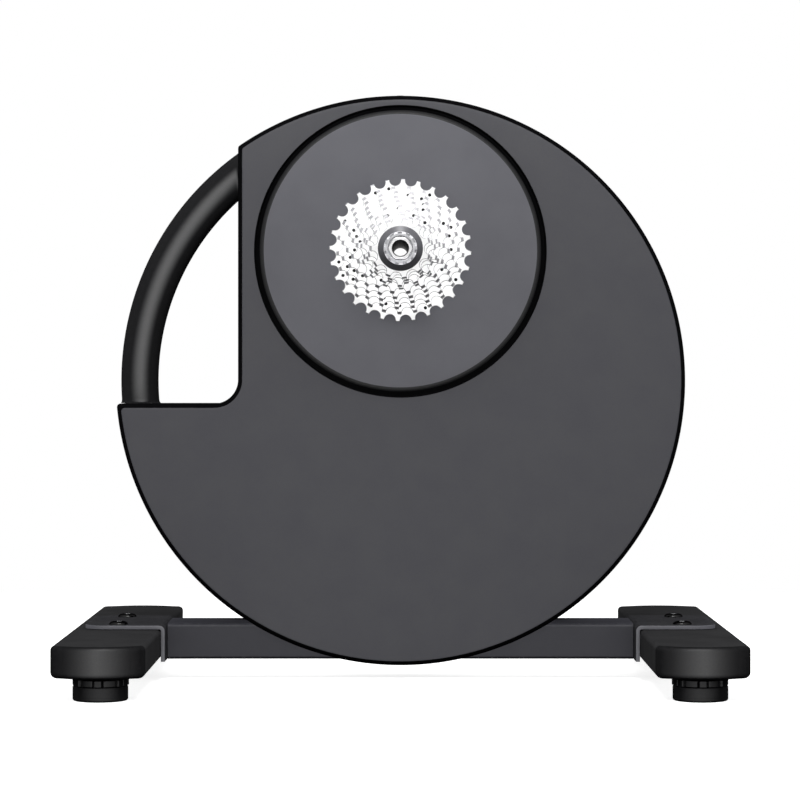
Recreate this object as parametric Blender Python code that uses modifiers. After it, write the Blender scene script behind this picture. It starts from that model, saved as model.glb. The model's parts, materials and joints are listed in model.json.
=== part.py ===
"""Direct-drive bicycle trainer, built from its separate pieces.

Metres, +Z up, floor at z = 0. The origin lies on the floor under the middle of the two legs.
The bicycle faces +X, and its drive side, with the cassette, faces -Y.
"""

import math

import bmesh
import bpy
from mathutils import Vector

# Clearances
TOUCH = 0.0003  # between pieces that touch
BELT_RUN = 0.0006  # between the belt and its pulleys
SLOT_RUN = 0.0006  # between the housing and the beam that runs through it
END_PLAY = 0.0005  # along the axle, between pieces that turn against each other
PAST = 0.01  # how far a cutter reaches beyond what it cuts
MERGE_DISTANCE = 0.00001  # points nearer than this are one point

# Legs, brackets and beam
LEG_SPACING = 0.4712  # from one leg's centre line to the other's
LEG_WIDTH = 0.0724
LEG_LENGTH = 0.438
LEG_BOW = 0.010  # how far each end bulges past its corners
LEG_CORNER = 0.008
LEG_HEIGHT = 0.0242
LEG_EDGE = 0.0035
LEG_WALL = 0.005
FOOT_BOSS = 0.018  # solid round each foot's hole, from its centre
SCREW_BOSS = 0.014  # solid round each screw's hole, from its centre
PLATE = 0.0032  # bracket plate
PLATE_DEPTH = 0.110
PLATE_REACH = 0.0622  # from the bend to the outer end
PLATE_CORNER = 0.015
BEND = 0.0045
BEAM_HEIGHT = 0.030
BEAM_DEPTH = 0.060
BEAM_WALL = 0.003
BEAM_CORNER = 0.003
SCREW_INSET = 0.015  # of each bracket screw from the plate's edge
SCREW_RADIUS = 0.004
SCREW_HEAD_RADIUS = 0.0075
SCREW_HEAD = 0.0044
SCREW_LENGTH = 0.018
SCREW_TOP_RADIUS = 0.0033
SCREW_SOCKET_RADIUS = 0.0027
SCREW_SOCKET_DEPTH = 0.0022

# Levelling feet
FOOT_INSET = 0.029  # of each foot from the leg's end
FOOT_GAP = 0.0023  # between the thumbwheel and the leg when the foot is screwed in
PAD_RADIUS = 0.0218
PAD_HEIGHT = 0.0115
PAD_EDGE = 0.001
THUMBWHEEL_RADIUS = 0.0215
THUMBWHEEL_HEIGHT = 0.0054
THUMBWHEEL_RIBS = 7
RIB_WIDTH = 0.006
RIB_PROUD = 0.0009
STUD_RADIUS = 0.005
STUD_ROOF = 0.0032  # of leg above the stud when the foot is screwed in
SWIVEL_PROUD = 0.001  # swivel's radius beyond the stud's
SWIVEL_DEPTH = 0.0055

# Cassette and axle
COG_TEETH = (28, 25, 23, 21, 19, 17, 15, 14, 13, 12, 11)
CHAIN_PITCH = 0.0127
ROLLER_RADIUS = 0.00397
TOOTH_PROUD = 0.0026  # beyond the pitch circle
TOOTH_ROOT_HALF = 0.28  # half a tooth's width at its root, in tooth pitches
TOOTH_TIP_HALF = 0.11
COG_PITCH = 0.00374
COG_PLATE = 0.0016
COLLAR_GAP = 0.0010  # between the splines and the collars round them
COLLAR_WALL = 0.0016
SPLINES = 9
SPLINE_HEIGHT = 0.0012
SPLINE_WIDTH = 0.0050
DRUM_WALL = 0.0017
FREEHUB_FLANGE_PROUD = 0.0013  # beyond the splines
FREEHUB_FLANGE = 0.0029
STEM_WALL = 0.0015
BUSH_WALL = 0.0009
CLUTCH_WALL = 0.0032
LOCKRING_PROUD = 0.0012  # beyond the splines
LOCKRING_CONE = 0.0034  # how far the flange narrows towards its face
LOCKRING_WALL = 0.0015
LOCKRING_FACE = 0.0022
LOCKRING_SLEEVE = 0.0055
AXLE_BORE = 0.0062
AXLE_WALL = 0.0013
AXLE_COLLAR_PROUD = 0.0023
AXLE_COLLAR = 0.0014
CAP_LIP = 0.0007  # how far a cap's mouth is wider than the bore
CAP_CHAMFER = 0.002
CAP_TO_AXLE = 0.006  # from a cap's face to the end of the axle inside it, at the drive side
DRIVE_CAP_WALL = 0.0016
REAR_CAP_WALL = 0.0027
DROPOUT_SPAN = 0.142  # between the two faces that the bicycle's frame closes on
CAP_PAST_COG = 0.0043  # drive cap's face beyond the smallest cog
CHAIN_ROOM = 0.0040  # between the disc cover and the middle of the largest cog
COVER_PROUD = 0.012
REAR_CAP_PROUD = 0.0035
BEARING_WIDTH = 0.007
BUSH_LENGTH = 0.020
BUSH_INSET = 0.005
DRUM_FLOOR = 0.004

# Housing
HOUSING_RADIUS = 0.2378
SHELL_WALL = 0.003
STRAP_GAP = 0.001  # beam above the housing's lowest wall
SHELL_ROUND = 0.004
TIP_ROUND = 0.003
NOTCH_GAP = 0.0115  # between the hand notch and the wall of the cover's recess
LEDGE_DROP = 0.0193  # ledge of the hand notch, below the centre
NOTCH_CORNER = 0.020
COVER_RADIUS = 0.1188
COVER_ROUND = 0.005
COVER_WALL = 0.0025
COVER_HOLE_GAP = 0.003  # open ring between the freehub and the disc cover
COVER_GAP = 0.0027  # open ring between the disc cover and the shell
COVER_TO_RIM = 0.0083
RECESS_DEPTH = 0.006
PRY_ANGLE = 18  # degrees, each side of the lowest point
PRY_WIDTH = 0.008
PRY_HEIGHT = 0.003
BOSS_RADIUS = 0.0055
BOSS_INSET = 0.0255  # from the housing's round edge
BOSS_ANGLES = (45, -39, 219)  # degrees, about the housing's centre
NOTCH_BOSS = (0.0145, 0.055)  # inside the notch's edge, above its ledge
SHELL_SCREW_RADIUS = 0.0016
SHELL_SCREW_HEAD_RADIUS = 0.0038
SHELL_SCREW_HEAD = 0.0030
SHELL_SCREW_SUNK = 0.0045
SHELL_SCREW_REACH = 0.015
VENTS = 9
VENT_WIDTH = 0.004
VENT_FAN = 180  # degrees, from straight left round the bottom to straight right
VENT_INNER = 0.034
VENT_OUTER = 0.072
LENS_RADIUS = 0.00375
LENS_FLANGE_RADIUS = 0.0048
LENS_FLANGE = 0.0008
LENS_PROUD = 0.0012
LENS_INSET = 0.0085  # behind the housing's face

# Handle
GRIP_WALL = 0.0039
TUBE_RADIUS = 0.0110
TUBE_WALL = 0.0020
SPIGOT_GAP = 0.0005  # between a spigot and the tube over it
GRIP_UNDER_RIM = 0.0002
TUBE_INSIDE = 0.026  # length of tube hidden in the housing, at each end
SPIGOT_LENGTH = 0.014  # of each arm's end, inside and outside the tube alike

# Drive inside the housing
FRAME_PLATE = 0.008
FRAME_BASE_HALF = 0.080
FRAME_BASE_DEPTH = 0.052
FRAME_BASE = 0.008
FRAME_HALF = 0.050
FRAME_HEAD_ANGLE = 20  # degrees below level where the round head ends
FRAME_BOLT_OFFSET = 0.065
FRAME_BOLT_RADIUS = 0.005
FRAME_BOLT_HEAD_RADIUS = 0.0085
FRAME_BOLT_HEAD = 0.0064
FRAME_BOLT_REACH = 0.012
AXLE_BOSS_WALL = 0.0102
AXLE_BOSS_PROUD = 0.0065  # in front of the frame's plate
AXLE_BOSS_TO_REAR = 0.010
AXLE_PAST_BOSS = 0.004
AXLE_PLATE_WALL = 0.016  # of the frame's plate round the axle's boss
SHAFT_BOSS_WALL = 0.0077
ARM_WIDTH = 0.030
ARM_TIP_WALL = 0.001  # of an arm's end on each side of its spigot
ARM_INSET = 0.00015  # of an arm's faces inside the plate's
PULLEY_INSET = 0.0138  # drive pulley's rim inside the disc cover's edge
HUB_GAP = 0.003  # open ring between the drive pulley's hub and the shell
PULLEY_TO_FRAME = 0.010
PULLEY_TO_SHELL = 0.001
PULLEY_WEB = 0.004
PULLEY_RIM = 0.0065
PULLEY_HUB_WALL = 0.0067
PULLEY_HUB_PROUD = 0.0045
SMALL_PULLEY_RADIUS = 0.019
BELT_THICKNESS = 0.0016
BELT_INSET = 0.0005  # of the belt's edges inside the pulleys' faces
SHAFT_DROP = 0.16075  # of the flywheel's shaft below the axle
FLYWHEEL_ROOM = 0.03275  # between the flywheel's rim and the axle's boss
FLYWHEEL_TO_FRAME = 0.004
FLYWHEEL_TO_SHELL = 0.004
FLYWHEEL_RIM = 0.030
FLYWHEEL_WEB = 0.006
FLYWHEEL_HUB_WALL = 0.0097
FLYWHEEL_HUB_GAP = 0.0045  # behind the shaft's boss
SHAFT_PROUD = 0.0015
SHAFT_RADIUS = 0.006
SHAFT_BEARING_WALL = 0.0077
SHAFT_BEARING_WIDTH = 0.008
STATOR_AIR_GAP = 0.0015
STATOR_POLES = 8
STATOR_GAP = 0.004  # between the shaft's boss and the stator
STATOR_CORE = 0.016  # width of the ring that the poles stand on
STATOR_SHOE = 0.010
STATOR_SPREAD = 0.76  # of the circle covered by shoes
STATOR_NECK = 0.016
BOARD_SIZE = (0.060, 0.0016, 0.090)
BOARD_GAP = 0.025  # between the flywheel and the circuit board
BOARD_DROP = 0.011  # of its middle below the housing's
BOARD_STANDOFF = 0.0066
STANDOFF_RADIUS = 0.003
STANDOFF_REACH = 0.4  # of the board's width and height, from its middle
INLET_INSET = 0.0456  # from the housing's round edge
INLET_ANGLE = -49.4  # degrees, about the housing's centre
INLET_RADIUS = 0.0062
INLET_FLANGE_RADIUS = 0.0095
INLET_FLANGE = 0.0015
INLET_SOCKET = 0.0030
INLET_PIN = 0.0010
INLET_PIN_SUNK = 0.003
INLET_LENGTH = 0.018
INLET_SOCKET_DEPTH = 0.012

# How many sides the round pieces have
HOUSING_SIDES = 64
COVER_SIDES = 48
WHEEL_SIDES = 32
SMALL_SIDES = 18
TINY_SIDES = 12
HANDLE_STEP = 6  # degrees
SHARP_ANGLE = 35  # degrees, beyond which an edge is shaded sharp
FLAT_ANGLE = 0.001  # radians, below which neighbouring faces are one flat face

# Radii from the axle's bore outwards
AXLE_RADIUS = AXLE_BORE + AXLE_WALL
AXLE_SEAT = AXLE_RADIUS + TOUCH
STEM_BORE = AXLE_SEAT + BUSH_WALL + TOUCH
STEM_RADIUS = STEM_BORE + STEM_WALL
FREEHUB_BORE = STEM_RADIUS + TOUCH + CLUTCH_WALL + TOUCH
SPLINE_ROOT = FREEHUB_BORE + DRUM_WALL
SPLINE_TIP = SPLINE_ROOT + SPLINE_HEIGHT
COLLAR_BORE = SPLINE_TIP + COLLAR_GAP
COLLAR_RADIUS = COLLAR_BORE + COLLAR_WALL
FREEHUB_FLANGE_RADIUS = SPLINE_TIP + FREEHUB_FLANGE_PROUD
LOCKRING_RADIUS = SPLINE_TIP + LOCKRING_PROUD
LOCKRING_BORE = FREEHUB_BORE - TOUCH - LOCKRING_WALL
COVER_HOLE = FREEHUB_FLANGE_RADIUS + COVER_HOLE_GAP
PULLEY_HUB_RADIUS = FREEHUB_BORE + PULLEY_HUB_WALL
AXLE_COLLAR_RADIUS = AXLE_RADIUS + AXLE_COLLAR_PROUD
AXLE_BOSS_RADIUS = AXLE_SEAT + AXLE_BOSS_WALL
REAR_CAP_RADIUS = AXLE_SEAT + REAR_CAP_WALL

# Radii of the flywheel's shaft, the handle and the feet
SHAFT_SEAT = SHAFT_RADIUS + TOUCH
SHAFT_BEARING_RADIUS = SHAFT_SEAT + SHAFT_BEARING_WALL
SHAFT_BOSS_RADIUS = SHAFT_BEARING_RADIUS + TOUCH + SHAFT_BOSS_WALL
FLYWHEEL_HUB_RADIUS = SHAFT_SEAT + FLYWHEEL_HUB_WALL
FLYWHEEL_RADIUS = SHAFT_DROP - AXLE_BOSS_RADIUS - FLYWHEEL_ROOM
FLYWHEEL_BORE_RADIUS = FLYWHEEL_RADIUS - FLYWHEEL_RIM
STATOR_BORE = SHAFT_BOSS_RADIUS + STATOR_GAP
PULLEY_RADIUS = COVER_RADIUS - PULLEY_INSET
RECESS_RADIUS = COVER_RADIUS + COVER_GAP
GRIP_BORE = TUBE_RADIUS + TOUCH
GRIP_RADIUS = GRIP_BORE + GRIP_WALL
TUBE_BORE = TUBE_RADIUS - TUBE_WALL
SPIGOT_RADIUS = TUBE_BORE - SPIGOT_GAP
HANDLE_RADIUS = HOUSING_RADIUS - GRIP_UNDER_RIM - GRIP_RADIUS
SWIVEL_RADIUS = STUD_RADIUS + SWIVEL_PROUD

# Places that follow from the sizes
THUMBWHEEL_BOTTOM = PAD_HEIGHT + TOUCH
THUMBWHEEL_TOP = THUMBWHEEL_BOTTOM + THUMBWHEEL_HEIGHT
LEG_BOTTOM = THUMBWHEEL_TOP + FOOT_GAP
LEG_TOP = LEG_BOTTOM + LEG_HEIGHT
STUD_TOP = LEG_TOP - STUD_ROOF
FOOT_Y = LEG_LENGTH / 2 - FOOT_INSET
SCREW_Y = PLATE_DEPTH / 2 - SCREW_INSET
BEAM_TOP = LEG_TOP + TOUCH + PLATE
BEAM_BOTTOM = BEAM_TOP - BEAM_HEIGHT
LEG_X = LEG_SPACING / 2
PLATE_OUTSIDE = LEG_X - LEG_WIDTH / 2 - TOUCH  # plate's upright, on the leg's side
PLATE_INSIDE = PLATE_OUTSIDE - PLATE
BEAM_HALF = PLATE_INSIDE - TOUCH
HOUSING_Z = BEAM_BOTTOM - STRAP_GAP - SHELL_WALL + HOUSING_RADIUS
AXLE_Z = HOUSING_Z + HOUSING_RADIUS - COVER_TO_RIM - RECESS_RADIUS
CASSETTE_WIDTH = COG_PITCH * (len(COG_TEETH) - 1)
PAST_CASSETTE = CAP_PAST_COG + COG_PLATE / 2
HOUSING_DEPTH = (
    DROPOUT_SPAN - REAR_CAP_PROUD - COVER_PROUD - CHAIN_ROOM - CASSETTE_WIDTH - PAST_CASSETTE
)
FRONT = -HOUSING_DEPTH / 2
REAR = HOUSING_DEPTH / 2
COVER_FACE = FRONT - COVER_PROUD
FIRST_COG = COVER_FACE - CHAIN_ROOM
LAST_COG = FIRST_COG - CASSETTE_WIDTH
DRIVE_FACE = LAST_COG - PAST_CASSETTE
REAR_FACE = DRIVE_FACE + DROPOUT_SPAN
RECESS_FLOOR = FRONT + RECESS_DEPTH
RECESS_BACK = RECESS_FLOOR + SHELL_WALL
FRAME_FRONT = -FRAME_PLATE / 2
FRAME_BACK = FRAME_PLATE / 2
FRAME_FOOT = BEAM_TOP + TOUCH
FRAME_BASE_TOP = FRAME_FOOT + FRAME_BASE
AXLE_BOSS_FRONT = FRAME_FRONT - AXLE_BOSS_PROUD
AXLE_BOSS_BACK = REAR - AXLE_BOSS_TO_REAR
PULLEY_FRONT = RECESS_BACK + PULLEY_TO_SHELL
PULLEY_BACK = FRAME_FRONT - PULLEY_TO_FRAME
HUB_FRONT = PULLEY_FRONT - PULLEY_HUB_PROUD
AXLE_COLLAR_BACK = AXLE_BOSS_FRONT - TOUCH
AXLE_COLLAR_FRONT = AXLE_COLLAR_BACK - AXLE_COLLAR
HUB_BEARING_BACK = AXLE_COLLAR_FRONT - TOUCH
HUB_BACK = AXLE_COLLAR_BACK - AXLE_COLLAR / 2
STEM_END = HUB_BEARING_BACK - BEARING_WIDTH - 2 * END_PLAY
FREEHUB_SEAT = FIRST_COG + COG_PLATE / 2 + TOUCH
FREEHUB_FLANGE_BACK = FREEHUB_SEAT + FREEHUB_FLANGE
FREEHUB_END = LAST_COG
LOCKRING_BACK = LAST_COG - COG_PLATE / 2 - TOUCH
LOCKRING_FRONT = LOCKRING_BACK - LOCKRING_FACE
SLEEVE_END = LOCKRING_BACK + LOCKRING_SLEEVE
FREEHUB_BEARING_FRONT = SLEEVE_END + END_PLAY
AXLE_DRIVE_END = DRIVE_FACE + CAP_TO_AXLE
AXLE_REAR_END = AXLE_BOSS_BACK + AXLE_PAST_BOSS
FLYWHEEL_Z = AXLE_Z - SHAFT_DROP
FLYWHEEL_FRONT = FRAME_BACK + FLYWHEEL_TO_FRAME
FLYWHEEL_BACK = REAR - SHELL_WALL - FLYWHEEL_TO_SHELL
SHAFT_BOSS_FRONT = FRAME_FRONT - SHAFT_BEARING_WIDTH
SHAFT_BOSS_BACK = SHAFT_BOSS_FRONT + 2 * SHAFT_BEARING_WIDTH + 4 * END_PLAY
LEDGE_Z = HOUSING_Z - LEDGE_DROP
NOTCH_X = -(RECESS_RADIUS + SHELL_WALL + NOTCH_GAP)
HANDLE_TOP = math.degrees(math.acos(NOTCH_X / HANDLE_RADIUS))
HANDLE_BOTTOM = 180 + math.degrees(math.asin(LEDGE_DROP / HANDLE_RADIUS))
TUBE_TOP = HANDLE_TOP - math.degrees(TUBE_INSIDE / HANDLE_RADIUS)
TUBE_BOTTOM = HANDLE_BOTTOM + math.degrees(TUBE_INSIDE / HANDLE_RADIUS)
SPIGOT_ANGLE = math.degrees(SPIGOT_LENGTH / HANDLE_RADIUS)
BOSS_REACH = HOUSING_RADIUS - BOSS_INSET
SHELL_SCREWS = [
    (BOSS_REACH * math.cos(angle), HOUSING_Z + BOSS_REACH * math.sin(angle))
    for angle in map(math.radians, BOSS_ANGLES)
]
SHELL_SCREWS.append((NOTCH_X + NOTCH_BOSS[0], LEDGE_Z + NOTCH_BOSS[1]))
BOARD_AT = (FLYWHEEL_RADIUS + BOARD_GAP + BOARD_SIZE[0] / 2, HOUSING_Z - BOARD_DROP)
INLET_AT = (
    (HOUSING_RADIUS - INLET_INSET) * math.cos(math.radians(INLET_ANGLE)),
    HOUSING_Z + (HOUSING_RADIUS - INLET_INSET) * math.sin(math.radians(INLET_ANGLE)),
)

# The exact solver leaves open edges in these, where several cuts meet in one flat face
MANIFOLD_PIECES = ("cross_beam", "front_shell", "rear_shell", "inner_frame")

# Colour, roughness and metallic value of each finish
FINISHES = {
    "charcoal_plastic": ((0.090, 0.090, 0.097), 0.55, 0.0),
    "grey_plastic": ((0.125, 0.125, 0.135), 0.50, 0.0),
    "charcoal_cast": ((0.045, 0.045, 0.050), 0.50, 0.0),
    "black_steel": ((0.030, 0.030, 0.034), 0.42, 0.0),
    "black_rubber": ((0.015, 0.015, 0.015), 0.85, 0.0),
    "black_screw": ((0.020, 0.020, 0.022), 0.30, 0.6),
    "plated_steel": ((0.80, 0.80, 0.80), 0.25, 1.0),
    "grey_alloy": ((0.42, 0.42, 0.43), 0.35, 1.0),
    "raw_steel": ((0.45, 0.45, 0.46), 0.40, 1.0),
    "clear_lens": ((0.70, 0.70, 0.62), 0.20, 0.0),
    "green_board": ((0.02, 0.12, 0.05), 0.45, 0.0),
    "copper_winding": ((0.45, 0.20, 0.10), 0.45, 0.6),
}


def clear_scene():
    for obj in list(bpy.data.objects):
        bpy.data.objects.remove(obj, do_unlink=True)


def new_collection(name):
    collection = bpy.data.collections.new(name)
    bpy.context.scene.collection.children.link(collection)
    return collection


clear_scene()
PARTS = new_collection("bike_trainer")
CUTTERS = new_collection("cutters")


def new_object(name, mesh):
    obj = bpy.data.objects.new(name, mesh)
    PARTS.objects.link(obj)
    return obj


def finish(obj, kind):
    """Gives a piece its own material, of one of the named finishes, and smooth round faces."""
    colour, roughness, metallic = FINISHES[kind]
    material = bpy.data.materials.new(f"{obj.name}_{kind}")
    material.use_nodes = True
    shader = material.node_tree.nodes["Principled BSDF"]
    shader.inputs["Base Color"].default_value = (*colour, 1.0)
    shader.inputs["Roughness"].default_value = roughness
    shader.inputs["Metallic"].default_value = metallic
    obj.data.materials.clear()
    obj.data.materials.append(material)
    obj.data.shade_smooth()
    obj.data.set_sharp_from_angle(angle=math.radians(SHARP_ANGLE))
    return obj


def axis_empty(name, at):
    """An empty on a joint's axis, which the pieces that move there are parented to."""
    empty = bpy.data.objects.new(name, None)
    empty.location = at
    empty.empty_display_size = 0.02
    PARTS.objects.link(empty)
    return empty


def place(obj, at, parent=None):
    """Puts an object at a world position, under the empty of its joint if it has one."""
    obj.parent = parent
    obj.location = Vector(at) - parent.location if parent else Vector(at)
    return obj


def as_cutter(obj):
    """Hides an object that only cuts or joins others."""
    PARTS.objects.unlink(obj)
    CUTTERS.objects.link(obj)
    obj.hide_render = True
    obj.display_type = "WIRE"
    return obj


def combine(obj, tool, operation):
    modifier = obj.modifiers.new(f"{operation.lower()}_{tool.name}", "BOOLEAN")
    modifier.operation = operation
    modifier.solver = "MANIFOLD" if obj.name in MANIFOLD_PIECES else "EXACT"
    modifier.object = tool


def cut(obj, *tools):
    for tool in tools:
        combine(obj, tool, "DIFFERENCE")
    return obj


def join(obj, *tools):
    for tool in tools:
        combine(obj, tool, "UNION")
    return obj


# Outlines, as lists of points across and up


def arc(centre, radius, start, end, steps):
    """Points on an arc from one angle to another, in degrees, both ends included."""
    angles = [math.radians(start + (end - start) * i / steps) for i in range(steps + 1)]
    return [(centre[0] + radius * math.cos(a), centre[1] + radius * math.sin(a)) for a in angles]


def circle(centre, radius, sides):
    return arc(centre, radius, 0, 360, sides)[:-1]


def rounded_rectangle(centre, across, up, corner, steps):
    points = []
    for turn, (sign_x, sign_y) in enumerate(((1, 1), (-1, 1), (-1, -1), (1, -1))):
        middle = (centre[0] + sign_x * (across / 2 - corner), centre[1] + sign_y * (up / 2 - corner))
        points += arc(middle, corner, turn * 90, turn * 90 + 90, steps)
    return points


def bar_outline(start, end, start_width, end_width):
    """A straight bar from one point to another, which tapers from one width to the other."""
    along = (Vector(end) - Vector(start)).normalized()
    side = Vector((-along.y, along.x))
    corners = (
        Vector(start) - side * start_width / 2,
        Vector(end) - side * end_width / 2,
        Vector(end) + side * end_width / 2,
        Vector(start) + side * start_width / 2,
    )
    return [tuple(corner) for corner in corners]


def housing_outline(inset):
    """The round housing with its hand notch, drawn in by inset all round."""
    centre = Vector((0, HOUSING_Z))
    radius = HOUSING_RADIUS - inset
    edge_x = NOTCH_X + inset
    ledge_z = LEDGE_Z - inset
    reach = radius - TIP_ROUND
    top_x = edge_x + TIP_ROUND
    top_tip = Vector((top_x, HOUSING_Z + math.sqrt(reach**2 - top_x**2)))
    left_z = ledge_z - TIP_ROUND
    left_tip = Vector((-math.sqrt(reach**2 - (left_z - HOUSING_Z) ** 2), left_z))
    top_angle = math.degrees(math.atan2(top_tip.y - centre.y, top_tip.x))
    left_angle = math.degrees(math.atan2(left_tip.y - centre.y, left_tip.x)) % 360 - 360
    steps = round((top_angle - left_angle) * HOUSING_SIDES / 360)
    corner = (NOTCH_X - NOTCH_CORNER, LEDGE_Z + NOTCH_CORNER)
    points = arc(top_tip, TIP_ROUND, 180, top_angle, 2)[:-1]
    points += arc(centre, radius, top_angle, left_angle, steps)
    points += arc(left_tip, TIP_ROUND, left_angle + 360, 90, 2)[1:]
    points += arc(corner, NOTCH_CORNER + inset, -90, 0, 6)
    return points


def spline_outline(gap):
    """The freehub's splines, or with a gap the bore that slides over them."""
    points = []
    for i in range(SPLINES):
        middle = 2 * math.pi * i / SPLINES
        for radius, side in ((SPLINE_ROOT, -1), (SPLINE_TIP, -1), (SPLINE_TIP, 1), (SPLINE_ROOT, 1)):
            angle = middle + side * math.asin((SPLINE_WIDTH / 2 + gap) / (radius + gap))
            points.append(((radius + gap) * math.cos(angle), (radius + gap) * math.sin(angle)))
    return points


def cog_outline(teeth):
    """Roller-chain teeth: the pitch circle gives the root and tip circles."""
    pitch_radius = CHAIN_PITCH / 2 / math.sin(math.pi / teeth)
    root = pitch_radius - ROLLER_RADIUS
    tip = pitch_radius + TOOTH_PROUD
    pitch = 2 * math.pi / teeth
    rise = [(root, -TOOTH_ROOT_HALF), (tip, -TOOTH_TIP_HALF)]
    corners = rise + [(radius, -share) for radius, share in reversed(rise)]
    points = []
    for i in range(teeth):
        for radius, share in corners:
            angle = (i + share) * pitch
            points.append((radius * math.cos(angle), radius * math.sin(angle)))
    return points


def belt_outline(large, small):
    """A loop round the drive pulley and the small pulley, tangent to both circles."""
    lean = math.degrees(math.asin((large - small) / (AXLE_Z - FLYWHEEL_Z)))
    points = arc((0, AXLE_Z), large, -lean, 180 + lean, 32)
    return points + arc((0, FLYWHEEL_Z), small, 180 + lean, 360 - lean, 12)


def thumbwheel_outline():
    """A round wheel with narrow upright ribs to grip."""
    points = []
    pitch = 360 / THUMBWHEEL_RIBS
    half = math.degrees(math.asin(RIB_WIDTH / 2 / THUMBWHEEL_RADIUS))
    for i in range(THUMBWHEEL_RIBS):
        points += arc((0, 0), THUMBWHEEL_RADIUS + RIB_PROUD, i * pitch - half, i * pitch + half, 1)
        points += arc((0, 0), THUMBWHEEL_RADIUS, i * pitch + half, (i + 1) * pitch - half, 2)
    return points


def stator_outline():
    """A ring with poles, each a neck that widens to a shoe along the flywheel's rim."""
    shoe_tip = FLYWHEEL_BORE_RADIUS - STATOR_AIR_GAP
    shoe_foot = shoe_tip - STATOR_SHOE
    core = STATOR_BORE + STATOR_CORE
    shoe_half = STATOR_SPREAD / 2 * 360 / STATOR_POLES
    points = []
    for i in range(STATOR_POLES):
        middle = (i + 0.5) * 360 / STATOR_POLES
        core_half = math.degrees(math.asin(STATOR_NECK / 2 / core))
        neck_half = math.degrees(math.asin(STATOR_NECK / 2 / shoe_foot))
        points += arc((0, 0), core, middle - core_half, middle - core_half, 1)[:1]
        points += arc((0, 0), shoe_foot, middle - neck_half, middle - shoe_half, 1)
        points += arc((0, 0), shoe_tip, middle - shoe_half, middle + shoe_half, 3)
        points += arc((0, 0), shoe_foot, middle + shoe_half, middle + neck_half, 1)
        points += arc((0, 0), core, middle + core_half, middle + core_half, 1)[:1]
    return points


def leg_outline():
    """A leg seen from above: straight sides, rounded corners and bowed ends."""
    half = LEG_WIDTH / 2 - LEG_CORNER
    side_y = LEG_LENGTH / 2 - LEG_BOW - LEG_CORNER
    radius = (half**2 + LEG_BOW**2) / (2 * LEG_BOW)
    spread = math.degrees(math.asin(half / radius))
    points = arc((half, side_y), LEG_CORNER, 0, 90 - spread, 2)
    points += arc((0, LEG_LENGTH / 2 - radius), radius, 90 - spread, 90 + spread, 6)[1:-1]
    points += arc((-half, side_y), LEG_CORNER, 90 + spread, 180, 2)
    return points + [(-across, -along) for across, along in points]


# Solids

TURNS = {"X": (0, math.pi / 2, 0), "Y": (math.pi / 2, 0, 0), "Z": (0, 0, 0)}


def mesh_of(obj):
    """Replaces a curve object by a closed mesh of the same shape, name and place."""
    bpy.context.view_layer.update()
    graph = bpy.context.evaluated_depsgraph_get()
    mesh = bpy.data.meshes.new_from_object(obj.evaluated_get(graph))
    solid = bmesh.new()
    solid.from_mesh(mesh)
    bmesh.ops.remove_doubles(solid, verts=solid.verts, dist=MERGE_DISTANCE)
    bmesh.ops.dissolve_limit(solid, angle_limit=FLAT_ANGLE, verts=solid.verts, edges=solid.edges)
    bmesh.ops.recalc_face_normals(solid, faces=solid.faces)
    solid.to_mesh(mesh)
    solid.free()
    name, matrix = obj.name, obj.matrix_world.copy()
    bpy.data.objects.remove(obj)
    made = new_object(name, mesh)
    made.name = name
    made.matrix_world = matrix
    return made


def extruded(name, loops, low, high, facing="Y", at=(0, 0), parent=None):
    """A flat outline, with any holes in it, made as thick as from low to high along one axis.

    at is the place of the outline's own origin: x and z for Y, x and y for Z, z and y for X.
    """
    curve = bpy.data.curves.new(name, "CURVE")
    curve.dimensions = "2D"
    curve.fill_mode = "BOTH"
    curve.extrude = (high - low) / 2
    for loop in loops:
        spline = curve.splines.new("POLY")
        spline.points.add(len(loop) - 1)
        for point, (across, up) in zip(spline.points, loop):
            point.co = (across, up, 0, 1)
        spline.use_cyclic_u = True
    guide = new_object(name, curve)
    guide.rotation_euler = TURNS[facing]
    made = mesh_of(guide)
    made.rotation_euler = TURNS[facing]
    middle = (low + high) / 2
    places = {"X": (middle, at[1], at[0]), "Y": (at[0], middle, at[1]), "Z": (at[0], at[1], middle)}
    return place(made, places[facing], parent)


def turned(name, profile, sides, facing="Y", at=(0, 0), parent=None):
    """A profile of radius and height, turned about its axis by a Screw modifier.

    A profile that starts and ends on the axis makes a solid piece, and any other is closed to a ring.
    Heights are world y for Y, and world z for Z.
    """
    sign = -1 if facing == "Y" else 1
    points = [(radius, sign * height) for radius, height in profile]
    following = points[1:] + points[:1]
    if sum(a[0] * b[1] - b[0] * a[1] for a, b in zip(points, following)) > 0:
        points.reverse()
    ring = max(points[0][0], points[-1][0]) > 0
    edges = [(i, i + 1) for i in range(len(points) - 1)]
    if ring:
        edges.append((len(points) - 1, 0))
    mesh = bpy.data.meshes.new(name)
    mesh.from_pydata([(radius, 0, height) for radius, height in points], edges, [])
    made = new_object(name, mesh)
    made.rotation_euler = TURNS[facing]
    screw = made.modifiers.new("turn", "SCREW")
    screw.angle = 2 * math.pi
    screw.steps = sides
    screw.render_steps = sides
    screw.use_merge_vertices = True
    screw.merge_threshold = MERGE_DISTANCE
    screw.use_smooth_shade = True
    places = {"Y": (at[0], 0, at[1]), "Z": (at[0], at[1], 0)}
    return place(made, places[facing], parent)


def rod(name, radius, low, high, facing="Y", at=(0, 0), sides=SMALL_SIDES, parent=None):
    profile = [(0, low), (radius, low), (radius, high), (0, high)]
    return turned(name, profile, sides, facing, at, parent)


def ring(name, inner, outer, low, high, at=(0, 0), sides=SMALL_SIDES, parent=None):
    profile = [(inner, low), (outer, low), (outer, high), (inner, high)]
    return turned(name, profile, sides, "Y", at, parent)


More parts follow.
